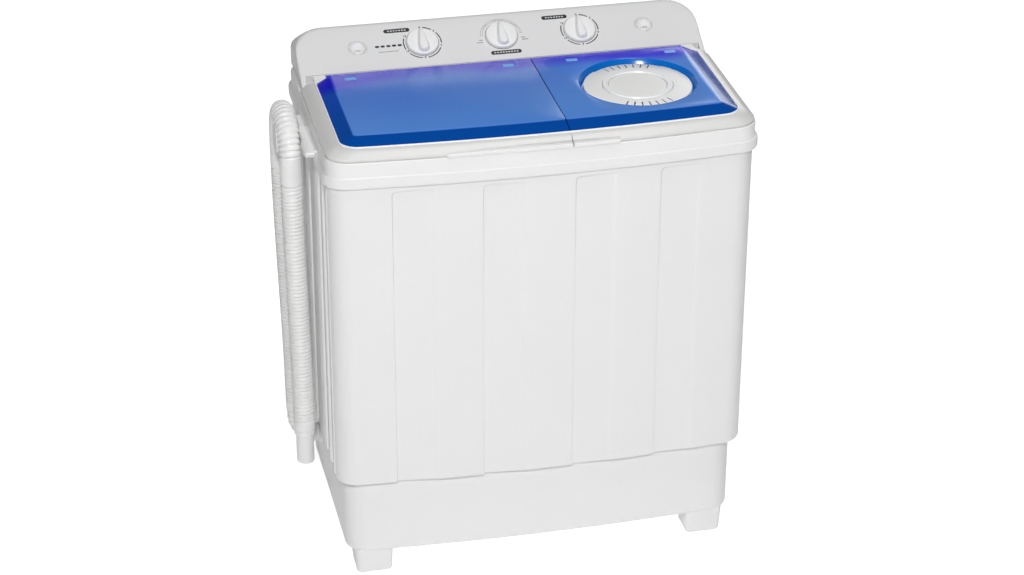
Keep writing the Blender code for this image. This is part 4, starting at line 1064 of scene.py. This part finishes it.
# ---------------------------------------------------------------- drain hose
def hose_run(start, stop):
    """An upright run of the hose, through the same points as in the CAD."""
    steps = 11
    points = []
    for i in range(steps + 1):
        t = i / steps
        lean = t * t * (3 - 2 * t)
        points.append((start[0] + (stop[0] - start[0]) * lean, start[1], start[2] + (stop[2] - start[2]) * t))
    return points


def ribbed(pitch, depth, smooth_from=None, smooth_to=None, sharpness=0.20):
    """Radius along a hose: broad crests with narrow grooves, and plain cuffs where it says."""
    def radius(along, total):
        phase = (along / pitch) % 1.0 - 0.5
        groove = math.exp(-(phase / sharpness) ** 2)
        plain = 0.0
        if smooth_from is not None:
            plain = max(plain, ramp(smooth_from - along, -0.001, 0.001))
        if smooth_to is not None:
            plain = max(plain, ramp(along - (total - smooth_to), -0.001, 0.001))
        return HOSE_RADIUS - depth * groove * (1 - plain)
    return radius


def hoses():
    foot, top = HOSE_BACK_Z
    back_path = hose_run((HOSE_BACK_FOOT_X, HOSE_BACK_Y, foot), (HOSE_X, HOSE_BACK_Y, top - GAP))
    back = sweep("hose_back_run", back_path, ribbed(0.0066, 0.0024, None, 0.028), HOSE, "body")
    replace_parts(back, "hose_back")
    foot, top = HOSE_FRONT_Z
    front_path = hose_run((HOSE_X, HOSE_FRONT_Y, top - GAP),
                          (HOSE_FRONT_FOOT_X, HOSE_FRONT_Y, foot + GAP))
    front = sweep("hose_front_run", front_path, ribbed(0.0066, 0.0024), HOSE, "body")
    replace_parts(front, "hose_front")
    mid = (HOSE_BACK_Y + HOSE_FRONT_Y) / 2
    radius = (HOSE_BACK_Y - HOSE_FRONT_Y) / 2
    arch = [(HOSE_X, mid + radius * cosd(a), ARCH_Z + radius * sind(a))
            for a in range(0, 181, 4)]
    path = [(HOSE_X, HOSE_BACK_Y, HOSE_BACK_Z[1])] + arch + [(HOSE_X, HOSE_FRONT_Y, HOSE_FRONT_Z[1])]
    bend = sweep("hose_bend_moulding", path, ribbed(0.0083, 0.0026, 0.068, 0.046, 0.16), HOSE, "body", 36,
                 0.0009)
    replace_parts(bend, "hose_bend")
    end = hose_end()
    outlet = drain_outlet()
    holder = hose_holder()


def hose_end():
    """Collar in two steps and the smooth end pipe."""
    top = HOSE_FRONT_Z[0]
    profile = [(0.0128, HOSE_END_Z + 0.0008), (0.0136, HOSE_END_Z), (0.0144, HOSE_END_Z + 0.0006),
               (0.0148, HOSE_END_Z + 0.0020), (0.0149, 0.2010), (0.0166, 0.2013), (0.0172, 0.2022),
               (0.0174, 0.2040), (0.0175, 0.2092), (0.0168, 0.2097), (0.0168, 0.2106), (0.0178, 0.2112),
               (0.0181, 0.2130), (0.0182, top - 0.0022), (0.0179, top - 0.0008), (0.0172, top), (0.0095, top),
               (0.0095, 0.2025), (0.0128, 0.1990)]
    place = Matrix.Translation((HOSE_FRONT_FOOT_X, HOSE_FRONT_Y, 0))
    piece = turned("hose_end_pipe", profile, HOSE, "body", place, ring=True, sharp=50)
    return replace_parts(piece, "hose_end")


def drain_outlet():
    """Ringed elbow from the base to the foot of the hose."""
    hx = BASE_HIGH.x
    centre = Vector((HOSE_BACK_FOOT_X + ELBOW_RADIUS, HOSE_BACK_Y, DRAIN_Z + ELBOW_RADIUS))
    bend = [centre + ELBOW_RADIUS * Vector((cosd(a), 0, sind(a)))
            for a in range(270, 179, -6)]
    path = [Vector((-hx - GAP, HOSE_BACK_Y, DRAIN_Z)), *bend,
            Vector((HOSE_BACK_FOOT_X, HOSE_BACK_Y, HOSE_BACK_Z[0] - GAP))]

    def radius(along, total):
        flange = 0.0050 * (1 - ramp(along, 0.0030, 0.0042))
        phase = (along / 0.0090) % 1.0 - 0.5
        groove = 0.0026 * math.exp(-(phase / 0.18) ** 2) * ramp(along, 0.004, 0.006)
        collar = ramp(along - (total - 0.016), -0.001, 0.001)
        return 0.0165 + flange - groove * (1 - collar) + 0.0010 * collar
    piece = sweep("drain_elbow", path, radius, HOSE, "body", 36, 0.0009)
    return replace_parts(piece, "drain_outlet")


def hose_holder():
    """Wing on the rim's left side with a saddle under the hose's arch."""
    x_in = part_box("hose_holder")[1].x
    tip = HOLDER_TIP_X
    outline = [(x_in, -0.108), (x_in, -0.004), (-0.3625, -0.004), (-0.3645, -0.006), (-0.3648, -0.050),
               (-0.3660, -0.058), (tip, -0.066), (tip, -0.100), (-0.3676, -0.106), (-0.3650, -0.108)]
    loops = []
    for z, front, shrink in ((0.7375, 0.016, 0.0030), (0.7390, 0.010, 0.0014), (0.7420, 0.0045, 0.0004),
                             (0.7460, 0.0012, 0.0), (0.7500, 0.0, 0.0), (0.7514, 0.0, 0.0006),
                             (0.7520, 0.0, 0.0016)):
        loop = []
        for x, y in outline:
            px = x if x == x_in else x + shrink
            py = y + (front + shrink if y < -0.09 else 0.0)
            loop.append((px, py, z))
        loops.append(loop)
    wing = loft("hose_wing", loops, WHITE, "body", sharp=40)
    shelf = box("cut_shelf", (x_in - 0.002, -0.100, RIM_BAND_TOP + GAP), (-RIM_HALF - GAP, -0.004, 0.7518),
                WHITE, None)
    rail = box("cut_rail", (-0.3600, -0.010, 0.732), (x_in, 0.050, 0.748), WHITE, None)
    mid = (HOSE_BACK_Y + HOSE_FRONT_Y) / 2
    top = ARCH_Z + (HOSE_BACK_Y - HOSE_FRONT_Y) / 2 - HOSE_RADIUS - 0.0006
    saddle = loft("cut_saddle", [[(x, mid + 0.024 * cosd(a),
                                   top - 0.024 + 0.024 * sind(a)) for a in range(0, 360, 10)]
                                 for x in (-0.399, -0.356)], WHITE, None)
    boolean(wing, [rail, saddle, shelf], 40, "UNION")
    bevel(wing, 0.0010, angle=35)
    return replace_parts(wing, "hose_holder")


# ---------------------------------------------------------------- CAD nodes that stay, and the set
def finish_nodes():
    """Every CAD node that stays on show gets a finish of its own."""
    finishes = {TUB_WHITE: ("wash_tub", "spin_chamber", "spin_basket"),
                WHITE: ("rear_panel", "pulsator", "basket_disc", "lint_filter"),
                NYLON: ("lid_hinge_", "_timer_body", "selector_switch", "pulley", "bearing", "drain_valve"),
                RUBBER: ("foot_pad", "cord_gland", "drive_belt", "seal", "spin_mount", "valve_plunger"),
                STEEL: ("_shaft", "brake_drum"),
                MOTOR: ("_motor", "brake_lever", "capacitor"),
                HOSE: ("spin_drain_duct",)}
    for name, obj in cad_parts.items():
        if obj.hide_render:
            continue
        chosen = [material for material, words in finishes.items() if any(word in name for word in words)]
        obj.data.materials.clear()
        obj.data.materials.append(chosen[-1] if chosen else WHITE)


def stage():
    """Pale floor, soft lights and the camera."""
    bm = bmesh.new()
    bmesh.ops.create_grid(bm, x_segments=1, y_segments=1, size=30.0)
    floor = add("floor", bm, floor_material(), None)
    floor.location.z = -0.0005
    world_light()
    area("key", (-1.1, -3.9, 3.7), (0.0, 0.0, 0.45), 0.8, 150.0)
    area("above", (0.5, -0.8, 3.8), (0.0, 0.0, 0.6), 1.6, 38.0)
    area("back", (2.0, 3.2, 2.0), (0.0, 0.0, 0.8), 1.5, 16.0)
    camera()
    bpy.context.scene.view_settings.view_transform = "Standard"


def world_light():
    """Soft white surroundings, brightest near the horizon and greyer overhead."""
    world = bpy.data.worlds.new("studio")
    bpy.context.scene.world = world
    world.use_nodes = True
    tree = world.node_tree
    place = tree.nodes.new("ShaderNodeTexCoord").outputs["Generated"]
    split = tree.nodes.new("ShaderNodeSeparateXYZ")
    tree.links.new(place, split.inputs[0])
    shade = tree.nodes.new("ShaderNodeMapRange")
    tree.links.new(split.outputs["Z"], shade.inputs["Value"])
    for index, number in ((1, 0.0), (2, 0.40), (3, 0.22), (4, 0.05)):
        shade.inputs[index].default_value = number
    back = tree.nodes["Background"]
    back.inputs["Color"].default_value = (1.0, 1.0, 1.0, 1.0)
    tree.links.new(shade.outputs["Result"], back.inputs["Strength"])


def floor_material():
    n = Nodes("floor_white")
    n.link(n.mix(n.remap(n.noise(1.5), 0.0, 1.0), (0.88, 0.88, 0.88), (0.90, 0.90, 0.90)), "Base Color")
    seen = n.tree.nodes.new("ShaderNodeLightPath").outputs["Is Camera Ray"]
    n.link(n.remap(seen, 0.30, 0.80, 0.0, 1.0), "Emission Strength")
    n.set(Roughness=0.9, Emission_Color=(1.0, 1.0, 1.0, 1.0))
    return n.material


def area(name, place, aim, size, power):
    light = bpy.data.lights.new(name, "AREA")
    light.shape = "DISK"
    light.size = size
    light.energy = power
    obj = put(name, light)
    obj.location = place
    obj.rotation_euler = (Vector(aim) - Vector(place)).to_track_quat("-Z", "Y").to_euler()


def camera():
    """Camera at the photograph's viewing angle: front left, from above."""
    data = bpy.data.cameras.new("camera")
    data.sensor_width = 36.0
    data.lens = 93.63
    data.clip_end = 100.0
    obj = put("camera", data)
    right = Vector((0.9756, -0.2195, 0.0030)).normalized()
    forward = Vector((0.1954, 0.8619, -0.4679)).normalized()
    up = right.cross(forward).normalized()
    right = forward.cross(up)
    turn = Matrix((right, up, -forward)).transposed().to_4x4()
    obj.matrix_world = Matrix.Translation((-0.8876, -3.865, 2.517)) @ turn
    bpy.context.scene.camera = obj


def build():
    cabinet()
    base()
    rim()
    console()
    inlet("inlet_left")
    inlet("inlet_right")
    knobs = [knob("wash_timer", "wash_timer_control"), knob("selector", "selector_control"),
             knob("spin_timer", "spin_timer_control")]
    panel_marks(*knobs)
    apron("wash_apron", -1.0, SPLIT - SPLIT_GAP, "wash_lid_frame", "wash_lid")
    apron("spin_apron", SPLIT + SPLIT_GAP, 1.0, "spin_lid_frame", "spin_lid")
    grip_ledge("wash_grip", GRIP_X[0], SPLIT - SPLIT_GAP, "wash_lid")
    grip_ledge("spin_grip", SPLIT + SPLIT_GAP, GRIP_X[1], "spin_lid")
    window("wash_window", -WINDOW_HALF, SPLIT - SPLIT_GAP, "wash_lid_window", "wash_lid", HINGE_X[:2])
    window("spin_window", SPLIT + SPLIT_GAP, WINDOW_HALF, "spin_lid_window", "spin_lid", HINGE_X[2:])
    vent()
    hoses()
    finish_nodes()
    stage()


build()
